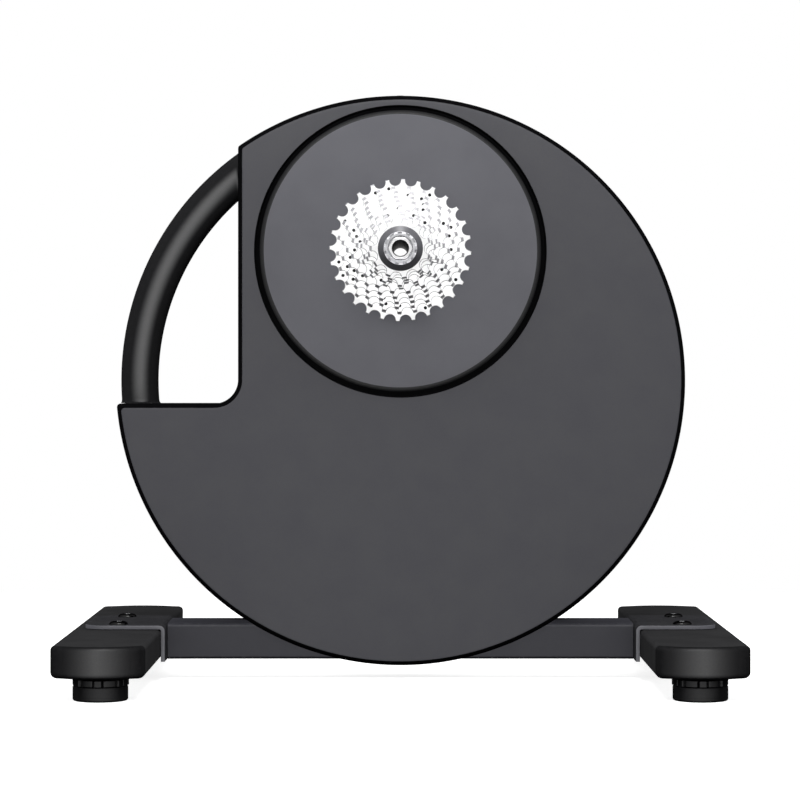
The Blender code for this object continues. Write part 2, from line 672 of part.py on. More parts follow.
def box(name, low, high):
    mesh = bpy.data.meshes.new(name)
    solid = bmesh.new()
    bmesh.ops.create_cube(solid, size=1)
    size = Vector(high) - Vector(low)
    bmesh.ops.scale(solid, vec=size, verts=solid.verts)
    solid.to_mesh(mesh)
    solid.free()
    return place(new_object(name, mesh), (Vector(low) + Vector(high)) / 2)


def arc_tube(name, radius, start, end, past=0, sides=12):
    """A round bar along the handle's arc, between two angles about the housing's centre.

    It is made of short straight lengths, and past is how many more of them lie beyond each angle.
    """
    steps = max(1, round((end - start) / HANDLE_STEP))
    step = (end - start) / steps
    start, end, steps = start - past * step, end + past * step, steps + 2 * past
    curve = bpy.data.curves.new(name, "CURVE")
    curve.dimensions = "3D"
    curve.bevel_depth = radius
    curve.bevel_resolution = sides // 2 - 2
    curve.use_fill_caps = True
    spline = curve.splines.new("POLY")
    spline.points.add(steps)
    for point, (x, z) in zip(spline.points, arc((0, HOUSING_Z), HANDLE_RADIUS, start, end, steps)):
        point.co = (x, 0, z, 1)
    return mesh_of(new_object(name, curve))


def round_one_face(obj, side, width, segments):
    """Rounds the rim of one flat face of an extruded piece: side is 1 or -1 along its own Z."""
    mesh = obj.data
    top = max(vertex.co.z * side for vertex in mesh.vertices)
    weights = mesh.attributes.new("bevel_weight_edge", "FLOAT", "EDGE")
    for edge in mesh.edges:
        lowest = min(mesh.vertices[i].co.z * side for i in edge.vertices)
        weights.data[edge.index].value = 1.0 if lowest > top - TOUCH else 0.0
    bevel = obj.modifiers.new("rounded_rim", "BEVEL")
    bevel.width = width
    bevel.segments = segments
    bevel.limit_method = "WEIGHT"
    return obj


# Base: beam, brackets, legs and levelling feet


def make_cross_beam():
    middle = (BEAM_TOP + BEAM_BOTTOM) / 2
    outer = rounded_rectangle((0, 0), BEAM_HEIGHT, BEAM_DEPTH, BEAM_CORNER, 2)
    inner = rounded_rectangle(
        (0, 0), BEAM_HEIGHT - 2 * BEAM_WALL, BEAM_DEPTH - 2 * BEAM_WALL, BEAM_CORNER / 2, 1
    )
    beam = extruded("cross_beam", [outer, inner], -BEAM_HALF, BEAM_HALF, "X", (middle, 0))
    for sign in (-1, 1):
        hole = rod(
            f"beam_hole_{sign}",
            FRAME_BOLT_RADIUS + TOUCH,
            BEAM_TOP - 2 * BEAM_WALL,
            BEAM_TOP + PAST,
            "Z",
            (sign * FRAME_BOLT_OFFSET, 0),
            TINY_SIDES,
        )
        cut(beam, as_cutter(hole))
    finish(beam, "black_steel")


def bracket_outline(sign):
    """The bent plate seen from the side: down the beam's end, and out over the leg."""
    end = PLATE_INSIDE + PLATE_REACH
    inner_bend = BEND - PLATE
    points = [(PLATE_OUTSIDE, BEAM_BOTTOM), (PLATE_INSIDE, BEAM_BOTTOM)]
    points += arc((PLATE_INSIDE + BEND, BEAM_TOP - BEND), BEND, 180, 90, 4)
    points += [(end, BEAM_TOP), (end, BEAM_TOP - PLATE)]
    points += arc((PLATE_OUTSIDE + inner_bend, BEAM_TOP - PLATE - inner_bend), inner_bend, 90, 180, 2)
    return [(sign * x, z) for x, z in points]


def make_bracket(name, sign):
    half = PLATE_DEPTH / 2
    bracket = extruded(f"bracket_{name}", [bracket_outline(sign)], -half, half)
    middle = sign * (PLATE_INSIDE + PLATE_REACH / 2)
    plan = rounded_rectangle((middle, 0), PLATE_REACH, PLATE_DEPTH, PLATE_CORNER, 4)
    square = sign * (PLATE_INSIDE + PLATE_REACH / 4)
    inner_half = rounded_rectangle((square, 0), PLATE_REACH / 2, PLATE_DEPTH, TOUCH, 1)
    low, high = BEAM_BOTTOM - PAST, BEAM_TOP + PAST
    shape = extruded(f"bracket_plan_{name}", [plan], low, high, "Z")
    tail = extruded(f"bracket_tail_{name}", [inner_half], low, high, "Z")
    join(as_cutter(shape), as_cutter(tail))
    combine(bracket, shape, "INTERSECT")
    for side in (-1, 1):
        at = (sign * LEG_X, side * SCREW_Y)
        low = BEAM_TOP - PLATE - PAST
        hole = rod(f"bracket_hole_{name}_{side}", SCREW_RADIUS + TOUCH, low, high, "Z", at, TINY_SIDES)
        cut(bracket, as_cutter(hole))
    finish(bracket, "black_steel")


def make_bracket_screw(name, at):
    """A button-head screw with a hexagon socket."""
    seat = BEAM_TOP + TOUCH
    top = seat + SCREW_HEAD
    dome = [
        (SCREW_HEAD_RADIUS * math.cos(a), seat + SCREW_HEAD * math.sin(a))
        for a in (math.radians(30 * i) for i in range(3))
    ]
    profile = [(0, top), (SCREW_TOP_RADIUS, top), *reversed(dome)]
    profile += [(SCREW_RADIUS, seat), (SCREW_RADIUS, seat - SCREW_LENGTH), (0, seat - SCREW_LENGTH)]
    screw = turned(f"bracket_screw_{name}", profile, TINY_SIDES, "Z", at)
    floor = top - SCREW_SOCKET_DEPTH
    socket = rod(f"socket_{name}", SCREW_SOCKET_RADIUS, floor, top + PAST, "Z", at, 6)
    cut(screw, as_cutter(socket))
    finish(screw, "black_screw")


def make_leg(name, sign):
    """A cast leg, hollow underneath between a middle rib and the bosses of feet and screws."""
    at = (sign * LEG_X, 0)
    leg = extruded(f"leg_{name}", [leg_outline()], LEG_BOTTOM, LEG_TOP, "Z", at)
    round_one_face(leg, 1, LEG_EDGE, 2)
    inner_x = LEG_WIDTH / 2 - LEG_WALL
    rib = LEG_WALL / 2
    spans = (
        (-FOOT_Y + FOOT_BOSS, -SCREW_Y - SCREW_BOSS),
        (-SCREW_Y + SCREW_BOSS, SCREW_Y - SCREW_BOSS),
        (SCREW_Y + SCREW_BOSS, FOOT_Y - FOOT_BOSS),
    )
    for i, (low_y, high_y) in enumerate(spans):
        for side in (-1, 1):
            near, far = sorted((at[0] + side * rib, at[0] + side * inner_x))
            low = (near, low_y, LEG_BOTTOM - PAST)
            high = (far, high_y, LEG_TOP - LEG_WALL)
            cut(leg, as_cutter(box(f"pocket_{name}_{i}_{side}", low, high)))
    for side in (-1, 1):
        foot_at = (at[0], side * FOOT_Y)
        radius = STUD_RADIUS + TOUCH
        low, high = LEG_BOTTOM - PAST, STUD_TOP + END_PLAY
        stud = rod(f"stud_hole_{name}_{side}", radius, low, high, "Z", foot_at, TINY_SIDES)
        screw_at = (at[0], side * SCREW_Y)
        radius = SCREW_RADIUS + TOUCH
        low, high = BEAM_TOP - SCREW_LENGTH - END_PLAY, LEG_TOP + PAST
        screw = rod(f"screw_hole_{name}_{side}", radius, low, high, "Z", screw_at, TINY_SIDES)
        cut(leg, as_cutter(stud), as_cutter(screw))
    finish(leg, "charcoal_cast")


def make_foot(name, at):
    """A thumbwheel with its stud, which screws into the leg, over a rubber pad on a swivel."""
    axis = axis_empty(f"foot_{name}_axis", (*at, 0))
    swivel_low = THUMBWHEEL_BOTTOM - SWIVEL_DEPTH
    radius, floor = SWIVEL_RADIUS + TOUCH, swivel_low - TOUCH
    hole = rod(f"swivel_hole_{name}", radius, floor, PAD_HEIGHT + PAST, "Z", at, TINY_SIDES)
    profile = [
        (0, PAD_HEIGHT),
        (PAD_RADIUS, PAD_HEIGHT),
        (PAD_RADIUS, PAD_EDGE),
        (PAD_RADIUS - PAD_EDGE, 0),
        (0, 0),
    ]
    pad = turned(f"foot_{name}_pad", profile, SMALL_SIDES, "Z", at, axis)
    cut(pad, as_cutter(hole))
    finish(pad, "black_rubber")
    ends = (THUMBWHEEL_BOTTOM, THUMBWHEEL_TOP)
    wheel = extruded(f"foot_{name}_thumbwheel", [thumbwheel_outline()], *ends, "Z", at, axis)
    shoulder = THUMBWHEEL_BOTTOM + THUMBWHEEL_HEIGHT / 2
    stud_profile = [
        (0, STUD_TOP),
        (STUD_RADIUS, STUD_TOP),
        (STUD_RADIUS, shoulder),
        (SWIVEL_RADIUS, shoulder),
        (SWIVEL_RADIUS, swivel_low),
        (0, swivel_low),
    ]
    stud = turned(f"stud_{name}", stud_profile, TINY_SIDES, "Z", at)
    join(wheel, as_cutter(stud))
    finish(wheel, "black_screw")


def make_base():
    make_cross_beam()
    for name, sign in (("front", 1), ("rear", -1)):
        make_bracket(name, sign)
        make_leg(name, sign)
        for hand, side in (("right", -1), ("left", 1)):
            make_bracket_screw(f"{name}_{hand}", (sign * LEG_X, side * SCREW_Y))
            make_foot(f"{name}_{hand}", (sign * LEG_X, side * FOOT_Y))


# Housing, disc cover and handle


def beam_slot():
    """The opening that the beam runs through, shared by both shells."""
    half_x = HOUSING_RADIUS
    half_y = BEAM_DEPTH / 2 + SLOT_RUN
    low = (-half_x, -half_y, BEAM_BOTTOM - SLOT_RUN)
    high = (half_x, half_y, BEAM_TOP + SLOT_RUN)
    return as_cutter(box("beam_slot", low, high))


def handle_passage():
    """The round opening that the handle's tube runs through, shared by both shells."""
    return as_cutter(arc_tube("handle_passage", TUBE_RADIUS + 2 * TOUCH, TUBE_TOP, TUBE_BOTTOM))


def make_front_shell(slot, passage):
    split = -TOUCH / 2
    shell = extruded("front_shell", [housing_outline(0)], FRONT, split)
    round_one_face(shell, 1, SHELL_ROUND, 2)
    hollow = extruded("front_hollow", [housing_outline(SHELL_WALL)], FRONT + SHELL_WALL, PAST)
    cup_radius = RECESS_RADIUS + SHELL_WALL
    at = (0, AXLE_Z)
    cup = rod("recess_cup", cup_radius, FRONT - PAST, RECESS_BACK, "Y", at, COVER_SIDES)
    cut(as_cutter(hollow), as_cutter(cup))
    cut(shell, hollow)
    pilot_end = -SHELL_SCREW_REACH - END_PLAY
    for i, boss_at in enumerate(SHELL_SCREWS):
        inside = FRONT + SHELL_WALL / 2
        boss = rod(f"front_boss_{i}", BOSS_RADIUS, inside, split, "Y", boss_at, TINY_SIDES)
        bore = SHELL_SCREW_RADIUS + TOUCH
        pilot = rod(f"front_pilot_{i}", bore, pilot_end, PAST, "Y", boss_at, TINY_SIDES)
        join(shell, as_cutter(boss))
        cut(shell, as_cutter(pilot))
    recess = rod("recess", RECESS_RADIUS, FRONT - PAST, RECESS_FLOOR, "Y", at, COVER_SIDES)
    hub_hole_radius = PULLEY_HUB_RADIUS + HUB_GAP
    hub_hole = rod("hub_hole", hub_hole_radius, FRONT - PAST, RECESS_BACK + PAST, "Y", at)
    lens_low = AXLE_Z + cup_radius + TOUCH
    lens_high = HOUSING_Z + HOUSING_RADIUS + PAST
    lens_at = (0, FRONT + LENS_INSET)
    lens_radius = LENS_RADIUS + TOUCH
    lens_hole = rod("lens_hole", lens_radius, lens_low, lens_high, "Z", lens_at, TINY_SIDES)
    cut(shell, as_cutter(recess), as_cutter(hub_hole), as_cutter(lens_hole), slot, passage)
    finish(shell, "charcoal_plastic")


def vent_outline(index):
    """One slot of the fan of cooling slots behind the flywheel."""
    angle = math.radians(180 + VENT_FAN * (index + 0.5) / VENTS)
    across, up = math.cos(angle), math.sin(angle)
    centre = (0, FLYWHEEL_Z)
    start = (centre[0] + VENT_INNER * across, centre[1] + VENT_INNER * up)
    end = (centre[0] + VENT_OUTER * across, centre[1] + VENT_OUTER * up)
    return bar_outline(start, end, VENT_WIDTH, VENT_WIDTH)


def make_rear_shell(slot, passage):
    split = TOUCH / 2
    shell = extruded("rear_shell", [housing_outline(0)], split, REAR)
    round_one_face(shell, -1, SHELL_ROUND, 2)
    hollow = extruded("rear_hollow", [housing_outline(SHELL_WALL)], -PAST, REAR - SHELL_WALL)
    cut(shell, as_cutter(hollow))
    head_floor = REAR - SHELL_SCREW_SUNK - SHELL_SCREW_HEAD
    for i, at in enumerate(SHELL_SCREWS):
        boss = rod(f"rear_boss_{i}", BOSS_RADIUS, split, REAR - SHELL_WALL / 2, "Y", at, TINY_SIDES)
        bore = SHELL_SCREW_RADIUS + TOUCH
        hole = rod(f"rear_hole_{i}", bore, -PAST, REAR + PAST, "Y", at, TINY_SIDES)
        sink_radius = SHELL_SCREW_HEAD_RADIUS + TOUCH
        sink = rod(f"rear_sink_{i}", sink_radius, head_floor, REAR + PAST, "Y", at, TINY_SIDES)
        join(shell, as_cutter(boss))
        cut(shell, as_cutter(hole), as_cutter(sink))
    board_x, board_z = BOARD_AT
    for i, (sign_x, sign_z) in enumerate(((1, 1), (-1, 1), (0, -1))):
        across, up = STANDOFF_REACH * BOARD_SIZE[0], STANDOFF_REACH * BOARD_SIZE[2]
        at = (board_x + sign_x * across, board_z + sign_z * up)
        high = REAR - SHELL_WALL / 2
        low = REAR - SHELL_WALL - BOARD_STANDOFF
        standoff = rod(f"standoff_{i}", STANDOFF_RADIUS, low, high, "Y", at, TINY_SIDES)
        join(shell, as_cutter(standoff))
    low, high = REAR - 2 * SHELL_WALL, REAR + PAST
    cap_hole = rod("cap_hole", REAR_CAP_RADIUS + 2 * TOUCH, low, high, "Y", (0, AXLE_Z))
    inlet_hole = rod("inlet_hole", INLET_RADIUS + TOUCH, low, high, "Y", INLET_AT)
    cut(shell, as_cutter(cap_hole), as_cutter(inlet_hole), slot, passage)
    for i in range(VENTS):
        cut(shell, as_cutter(extruded(f"vent_{i}", [vent_outline(i)], low, high)))
    finish(shell, "charcoal_plastic")


def make_shell_screws():
    floor = REAR - SHELL_SCREW_SUNK - SHELL_SCREW_HEAD + TOUCH
    for i, at in enumerate(SHELL_SCREWS, 1):
        profile = [
            (0, -SHELL_SCREW_REACH),
            (SHELL_SCREW_RADIUS, -SHELL_SCREW_REACH),
            (SHELL_SCREW_RADIUS, floor),
            (SHELL_SCREW_HEAD_RADIUS, floor),
            (SHELL_SCREW_HEAD_RADIUS, floor + SHELL_SCREW_HEAD),
            (0, floor + SHELL_SCREW_HEAD),
        ]
        finish(turned(f"shell_screw_{i}", profile, TINY_SIDES, "Y", at), "black_screw")


def make_disc_cover():
    """A round lid with a soft edge, a hole for the freehub and two pry notches below."""
    base = RECESS_FLOOR - TOUCH
    inner = COVER_RADIUS - COVER_WALL
    edge = COVER_RADIUS - COVER_ROUND
    profile = [(COVER_HOLE, COVER_FACE)]
    profile += [
        (edge + COVER_ROUND * math.sin(a), COVER_FACE + COVER_ROUND * (1 - math.cos(a)))
        for a in (math.radians(30 * i) for i in range(4))
    ]
    profile += [(COVER_RADIUS, base), (inner, base), (inner, COVER_FACE + COVER_ROUND)]
    profile += [(edge, COVER_FACE + COVER_WALL), (COVER_HOLE, COVER_FACE + COVER_WALL)]
    cover = turned("disc_cover", profile, COVER_SIDES, "Y", (0, AXLE_Z))
    for side in (-1, 1):
        angle = math.radians(-90 + side * PRY_ANGLE)
        x = COVER_RADIUS * math.cos(angle)
        z = AXLE_Z + COVER_RADIUS * math.sin(angle)
        low = (x - PRY_WIDTH / 2, base - PRY_HEIGHT, z - PRY_WIDTH / 2)
        high = (x + PRY_WIDTH / 2, base + PRY_HEIGHT, z + PRY_WIDTH / 2)
        cut(cover, as_cutter(box(f"pry_notch_{side}", low, high)))
    finish(cover, "grey_plastic")


def make_status_light():
    top = HOUSING_Z + HOUSING_RADIUS + LENS_PROUD
    flange_top = HOUSING_Z + HOUSING_RADIUS - SHELL_WALL - 2 * TOUCH
    flange_low = flange_top - LENS_FLANGE
    profile = [
        (0, top),
        (LENS_RADIUS / 2, top),
        (LENS_RADIUS, top - LENS_PROUD / 2),
        (LENS_RADIUS, flange_top),
        (LENS_FLANGE_RADIUS, flange_top),
        (LENS_FLANGE_RADIUS, flange_low),
        (0, flange_low),
    ]
    lens = turned("status_light", profile, TINY_SIDES, "Z", (0, FRONT + LENS_INSET))
    finish(lens, "clear_lens")


def make_handle():
    """A tube on the frame's two spigots, with a sleeve where the hand goes."""
    tube = arc_tube("handle_tube", TUBE_RADIUS, TUBE_TOP, TUBE_BOTTOM)
    bore = arc_tube("handle_tube_bore", TUBE_BORE, TUBE_TOP, TUBE_BOTTOM, 1)
    cut(tube, as_cutter(bore))
    finish(tube, "raw_steel")
    grip = arc_tube("handle_grip", GRIP_RADIUS, TUBE_TOP, TUBE_BOTTOM)
    grip_bore = arc_tube("handle_grip_bore", GRIP_BORE, TUBE_TOP, TUBE_BOTTOM, 1)
    far = HOUSING_RADIUS
    upright = box("grip_end_top", (NOTCH_X - TOUCH, -far, HOUSING_Z), (far, far, HOUSING_Z + 2 * far))
    ledge_low = (-2 * far, -far, LEDGE_Z - far)
    ledge = box("grip_end_bottom", ledge_low, (0, far, LEDGE_Z + TOUCH))
    cut(grip, as_cutter(grip_bore), as_cutter(upright), as_cutter(ledge))
    finish(grip, "black_rubber")


def make_housing():
    slot = beam_slot()
    passage = handle_passage()
    make_front_shell(slot, passage)
    make_rear_shell(slot, passage)
    make_shell_screws()
    make_disc_cover()
    make_status_light()
    make_handle()


# Inner frame, axle and electronics


def make_inner_frame():
    """A plate that stands on the beam and carries both shafts and the handle."""
    spine_outline = [(FRAME_HALF, FRAME_FOOT), (FRAME_HALF, FLYWHEEL_Z + FRAME_HALF)]
    head_ends = (-FRAME_HEAD_ANGLE, 180 + FRAME_HEAD_ANGLE)
    spine_outline += arc((0, AXLE_Z), AXLE_BOSS_RADIUS + AXLE_PLATE_WALL, *head_ends, 14)
    spine_outline += [(-FRAME_HALF, FLYWHEEL_Z + FRAME_HALF), (-FRAME_HALF, FRAME_FOOT)]
    frame = extruded("inner_frame", [spine_outline], FRAME_FRONT, FRAME_BACK)
    base_low = (-FRAME_BASE_HALF, -FRAME_BASE_DEPTH / 2, FRAME_FOOT)
    base_high = (FRAME_BASE_HALF, FRAME_BASE_DEPTH / 2, FRAME_BASE_TOP)
    base = box("frame_base", base_low, base_high)
    axle_boss = rod(
        "axle_boss", AXLE_BOSS_RADIUS, AXLE_BOSS_FRONT, AXLE_BOSS_BACK, "Y", (0, AXLE_Z)
    )
    shaft_boss = rod(
        "shaft_boss", SHAFT_BOSS_RADIUS, SHAFT_BOSS_FRONT, SHAFT_BOSS_BACK, "Y", (0, FLYWHEEL_Z)
    )
    join(frame, as_cutter(base), as_cutter(axle_boss), as_cutter(shaft_boss))
    ends = (
        ("top", (0, AXLE_Z), TUBE_TOP - SPIGOT_ANGLE, TUBE_TOP + SPIGOT_ANGLE),
        ("bottom", (0, FLYWHEEL_Z), TUBE_BOTTOM + SPIGOT_ANGLE, TUBE_BOTTOM - SPIGOT_ANGLE),
    )
    for name, root, outer_angle, inner_angle in ends:
        tip = arc((0, HOUSING_Z), HANDLE_RADIUS, outer_angle, outer_angle, 1)[0]
        outline = bar_outline(root, tip, ARM_WIDTH, 2 * (SPIGOT_RADIUS + ARM_TIP_WALL))
        arm = extruded(f"frame_arm_{name}", [outline], FRAME_FRONT + ARM_INSET, FRAME_BACK - ARM_INSET)
        spigot = arc_tube(f"spigot_{name}", SPIGOT_RADIUS, *sorted((outer_angle, inner_angle)))
        join(frame, as_cutter(arm), as_cutter(spigot))
    axle_bore = rod("frame_axle_bore", AXLE_SEAT, FRONT, REAR, "Y", (0, AXLE_Z))
    shaft_bore = rod("frame_shaft_bore", SHAFT_BEARING_RADIUS + TOUCH, FRONT, REAR, "Y", (0, FLYWHEEL_Z))
    cut(frame, as_cutter(axle_bore), as_cutter(shaft_bore))
    for name, sign in (("front", 1), ("rear", -1)):
        at = (sign * FRAME_BOLT_OFFSET, 0)
        radius = FRAME_BOLT_RADIUS + TOUCH
        low, high = FRAME_FOOT - PAST, FRAME_BASE_TOP + PAST
        hole = rod(f"frame_hole_{name}", radius, low, high, "Z", at, TINY_SIDES)
        cut(frame, as_cutter(hole))
        seat = FRAME_BASE_TOP + TOUCH
        end = BEAM_TOP - FRAME_BOLT_REACH
        profile = [
            (0, seat + FRAME_BOLT_HEAD),
            (FRAME_BOLT_HEAD_RADIUS, seat + FRAME_BOLT_HEAD),
            (FRAME_BOLT_HEAD_RADIUS, seat),
            (FRAME_BOLT_RADIUS, seat),
            (FRAME_BOLT_RADIUS, end),
            (0, end),
        ]
        finish(turned(f"frame_bolt_{name}", profile, TINY_SIDES, "Z", at), "raw_steel")
    finish(frame, "raw_steel")


def make_axle():
    """The hollow axle, fixed in the frame, and the two caps that the bicycle closes on."""
    at = (0, AXLE_Z)
    profile = [
        (AXLE_BORE, AXLE_DRIVE_END),
        (AXLE_RADIUS, AXLE_DRIVE_END),
        (AXLE_RADIUS, AXLE_COLLAR_FRONT),
        (AXLE_COLLAR_RADIUS, AXLE_COLLAR_FRONT),
        (AXLE_COLLAR_RADIUS, AXLE_COLLAR_BACK),
        (AXLE_RADIUS, AXLE_COLLAR_BACK),
        (AXLE_RADIUS, AXLE_REAR_END),
        (AXLE_BORE, AXLE_REAR_END),
    ]
    finish(turned("hub_axle", profile, SMALL_SIDES, "Y", at), "raw_steel")
    drive_radius = AXLE_SEAT + DRIVE_CAP_WALL
    for name, radius, face, end, skirt, sign in (
        ("drive", drive_radius, DRIVE_FACE, AXLE_DRIVE_END, FREEHUB_BEARING_FRONT, 1),
        ("rear", REAR_CAP_RADIUS, REAR_FACE, AXLE_REAR_END, AXLE_BOSS_BACK, -1),
    ):
        floor = end - sign * TOUCH
        profile = [
            (AXLE_BORE + CAP_LIP, face),
            (radius, face),
            (radius, skirt - sign * TOUCH),
            (AXLE_SEAT, skirt - sign * TOUCH),
            (AXLE_SEAT, floor),
            (AXLE_BORE, floor),
            (AXLE_BORE, face + sign * CAP_CHAMFER),
        ]
        finish(turned(f"axle_cap_{name}", profile, SMALL_SIDES, "Y", at), "plated_steel")


def make_electronics():
    back = FLYWHEEL_BACK - FLYWHEEL_WEB - STATOR_AIR_GAP
    loops = [stator_outline(), circle((0, 0), STATOR_BORE, SMALL_SIDES)]
    stator = extruded("brake_stator", loops, FRAME_BACK + TOUCH, back, "Y", (0, FLYWHEEL_Z))
    finish(stator, "copper_winding")
    board_x, board_z = BOARD_AT
    board_y = REAR - SHELL_WALL - BOARD_STANDOFF - TOUCH
    low = (board_x - BOARD_SIZE[0] / 2, board_y - BOARD_SIZE[1], board_z - BOARD_SIZE[2] / 2)
    high = (board_x + BOARD_SIZE[0] / 2, board_y, board_z + BOARD_SIZE[2] / 2)
    finish(box("circuit_board", low, high), "green_board")
    outside = REAR + TOUCH + INLET_FLANGE
    inside = REAR - INLET_LENGTH
    floor = outside - INLET_SOCKET_DEPTH
    profile = [
        (0, outside - INLET_PIN_SUNK),
        (INLET_PIN, outside - INLET_PIN_SUNK),
        (INLET_PIN, floor),
        (INLET_SOCKET, floor),
        (INLET_SOCKET, outside),
        (INLET_FLANGE_RADIUS, outside),
        (INLET_FLANGE_RADIUS, REAR + TOUCH),
        (INLET_RADIUS, REAR + TOUCH),
        (INLET_RADIUS, inside),
        (0, inside),
    ]
    finish(turned("power_inlet", profile, SMALL_SIDES, "Y", INLET_AT), "black_screw")


# Flywheel and the belt drive


def make_flywheel():
    axis = axis_empty("flywheel_axis", (0, 0, FLYWHEEL_Z))
    at = (0, FLYWHEEL_Z)
    web_front = FLYWHEEL_BACK - FLYWHEEL_WEB
    hub_front = SHAFT_BOSS_BACK + FLYWHEEL_HUB_GAP
    profile = [
        (FLYWHEEL_RADIUS, FLYWHEEL_FRONT),
        (FLYWHEEL_RADIUS, FLYWHEEL_BACK),
        (SHAFT_SEAT, FLYWHEEL_BACK),
        (SHAFT_SEAT, hub_front),
        (FLYWHEEL_HUB_RADIUS, hub_front),
        (FLYWHEEL_HUB_RADIUS, web_front),
        (FLYWHEEL_BORE_RADIUS, web_front),
        (FLYWHEEL_BORE_RADIUS, FLYWHEEL_FRONT),
    ]
    finish(turned("flywheel", profile, WHEEL_SIDES, "Y", at, axis), "raw_steel")
    ends = (PULLEY_FRONT - SHAFT_PROUD, FLYWHEEL_BACK + SHAFT_PROUD)
    shaft = rod("flywheel_shaft", SHAFT_RADIUS, *ends, "Y", at, SMALL_SIDES, axis)
    finish(shaft, "raw_steel")
    ends = (PULLEY_FRONT, PULLEY_BACK)
    small = ring("small_pulley", SHAFT_SEAT, SMALL_PULLEY_RADIUS, *ends, at, parent=axis)
    finish(small, "grey_alloy")
    front = SHAFT_BOSS_FRONT + END_PLAY
    for name in ("front", "rear"):
        back = front + SHAFT_BEARING_WIDTH
        bearing = ring(f"shaft_bearing_{name}", SHAFT_SEAT, SHAFT_BEARING_RADIUS, front, back, at)
        finish(bearing, "plated_steel")
        front = back + END_PLAY


def make_belt():
    large = PULLEY_RADIUS + BELT_RUN
    small = SMALL_PULLEY_RADIUS + BELT_RUN
    outer = belt_outline(large + BELT_THICKNESS, small + BELT_THICKNESS)
    loops = [outer, belt_outline(large, small)]
    belt = extruded("drive_belt", loops, PULLEY_FRONT + BELT_INSET, PULLEY_BACK - BELT_INSET)
    finish(belt, "black_rubber")


def make_drive_pulley(axis):
    at = (0, AXLE_Z)
    web_back = (PULLEY_FRONT + PULLEY_BACK + PULLEY_WEB) / 2
    web_front = web_back - PULLEY_WEB
    rim = PULLEY_RADIUS - PULLEY_RIM
    profile = [
        (PULLEY_RADIUS, PULLEY_FRONT),
        (PULLEY_RADIUS, PULLEY_BACK),
        (rim, PULLEY_BACK),
        (rim, web_back),
        (PULLEY_HUB_RADIUS, web_back),
        (PULLEY_HUB_RADIUS, HUB_BACK),
        (FREEHUB_BORE, HUB_BACK),
        (FREEHUB_BORE, HUB_FRONT),
        (PULLEY_HUB_RADIUS, HUB_FRONT),
        (PULLEY_HUB_RADIUS, web_front),
        (rim, web_front),
        (rim, PULLEY_FRONT),
    ]
    finish(turned("drive_pulley", profile, WHEEL_SIDES, "Y", at, axis), "grey_alloy")
    seat = FREEHUB_BORE - TOUCH
    ends = (HUB_BEARING_BACK - BEARING_WIDTH, HUB_BEARING_BACK)
    bearing = ring("pulley_bearing", AXLE_SEAT, seat, *ends, at, parent=axis)
    finish(bearing, "plated_steel")
    ends = (HUB_FRONT + END_PLAY, STEM_END - END_PLAY)
    clutch = ring("one_way_clutch", STEM_RADIUS + TOUCH, seat, *ends, at, parent=axis)
    finish(clutch, "raw_steel")


# Freehub and cassette


def make_freehub(axis):
    """A splined drum with a flange behind it and a stem that runs in the one-way clutch."""
    at = (0, AXLE_Z)
    drum_floor = FREEHUB_SEAT - DRUM_FLOOR
    drum_loops = [spline_outline(0), circle((0, 0), FREEHUB_BORE, SMALL_SIDES)]
    drum_end = FREEHUB_SEAT + FREEHUB_FLANGE / 2
    body = extruded("freehub_body", drum_loops, FREEHUB_END, drum_end, "Y", at, axis)
    inside_wall = (FREEHUB_BORE + SPLINE_ROOT) / 2
    profile = [
        (STEM_BORE, drum_floor),
        (inside_wall, drum_floor),
        (inside_wall, FREEHUB_SEAT),
        (FREEHUB_FLANGE_RADIUS, FREEHUB_SEAT),
        (FREEHUB_FLANGE_RADIUS, FREEHUB_FLANGE_BACK),
        (STEM_RADIUS, FREEHUB_FLANGE_BACK),
        (STEM_RADIUS, STEM_END),
        (STEM_BORE, STEM_END),
    ]
    join(body, as_cutter(turned("freehub_stem", profile, SMALL_SIDES, "Y", at)))
    finish(body, "grey_alloy")
    ends = (FREEHUB_BEARING_FRONT, FREEHUB_BEARING_FRONT + BEARING_WIDTH)
    bearing = ring("freehub_bearing", AXLE_SEAT, FREEHUB_BORE - TOUCH, *ends, at, parent=axis)
    finish(bearing, "plated_steel")
    bush_back = STEM_END - BUSH_INSET
    ends = (bush_back - BUSH_LENGTH, bush_back)
    bush = ring("freehub_bush", AXLE_SEAT, STEM_BORE - TOUCH, *ends, at, parent=axis)
    finish(bush, "raw_steel")


def make_cogs(axis):
    """Eleven cogs in order, each but the last with the collar that spaces it from the next."""
    at = (0, AXLE_Z)
    for i, teeth in enumerate(COG_TEETH):
        middle = FIRST_COG - i * COG_PITCH
        low, high = middle - COG_PLATE / 2, middle + COG_PLATE / 2
        loops = [cog_outline(teeth), spline_outline(TOUCH)]
        cog = extruded(f"cog_{teeth}", loops, low, high, "Y", at, axis)
        if teeth != COG_TEETH[-1]:
            collar_end = middle - COG_PITCH + COG_PLATE / 2 + TOUCH
            ends = (collar_end, middle)
            collar = ring(f"collar_{teeth}", COLLAR_BORE, COLLAR_RADIUS, *ends, at, TINY_SIDES)
            join(cog, as_cutter(collar))
        finish(cog, "plated_steel")


def make_lockring(axis):
    profile = [
        (LOCKRING_BORE, LOCKRING_FRONT),
        (LOCKRING_RADIUS - LOCKRING_CONE, LOCKRING_FRONT),
        (LOCKRING_RADIUS, LOCKRING_BACK - LOCKRING_FACE / 2),
        (LOCKRING_RADIUS, LOCKRING_BACK),
        (FREEHUB_BORE - TOUCH, LOCKRING_BACK),
        (FREEHUB_BORE - TOUCH, SLEEVE_END),
        (LOCKRING_BORE, SLEEVE_END),
    ]
    finish(turned("lockring", profile, SMALL_SIDES, "Y", (0, AXLE_Z), axis), "grey_alloy")


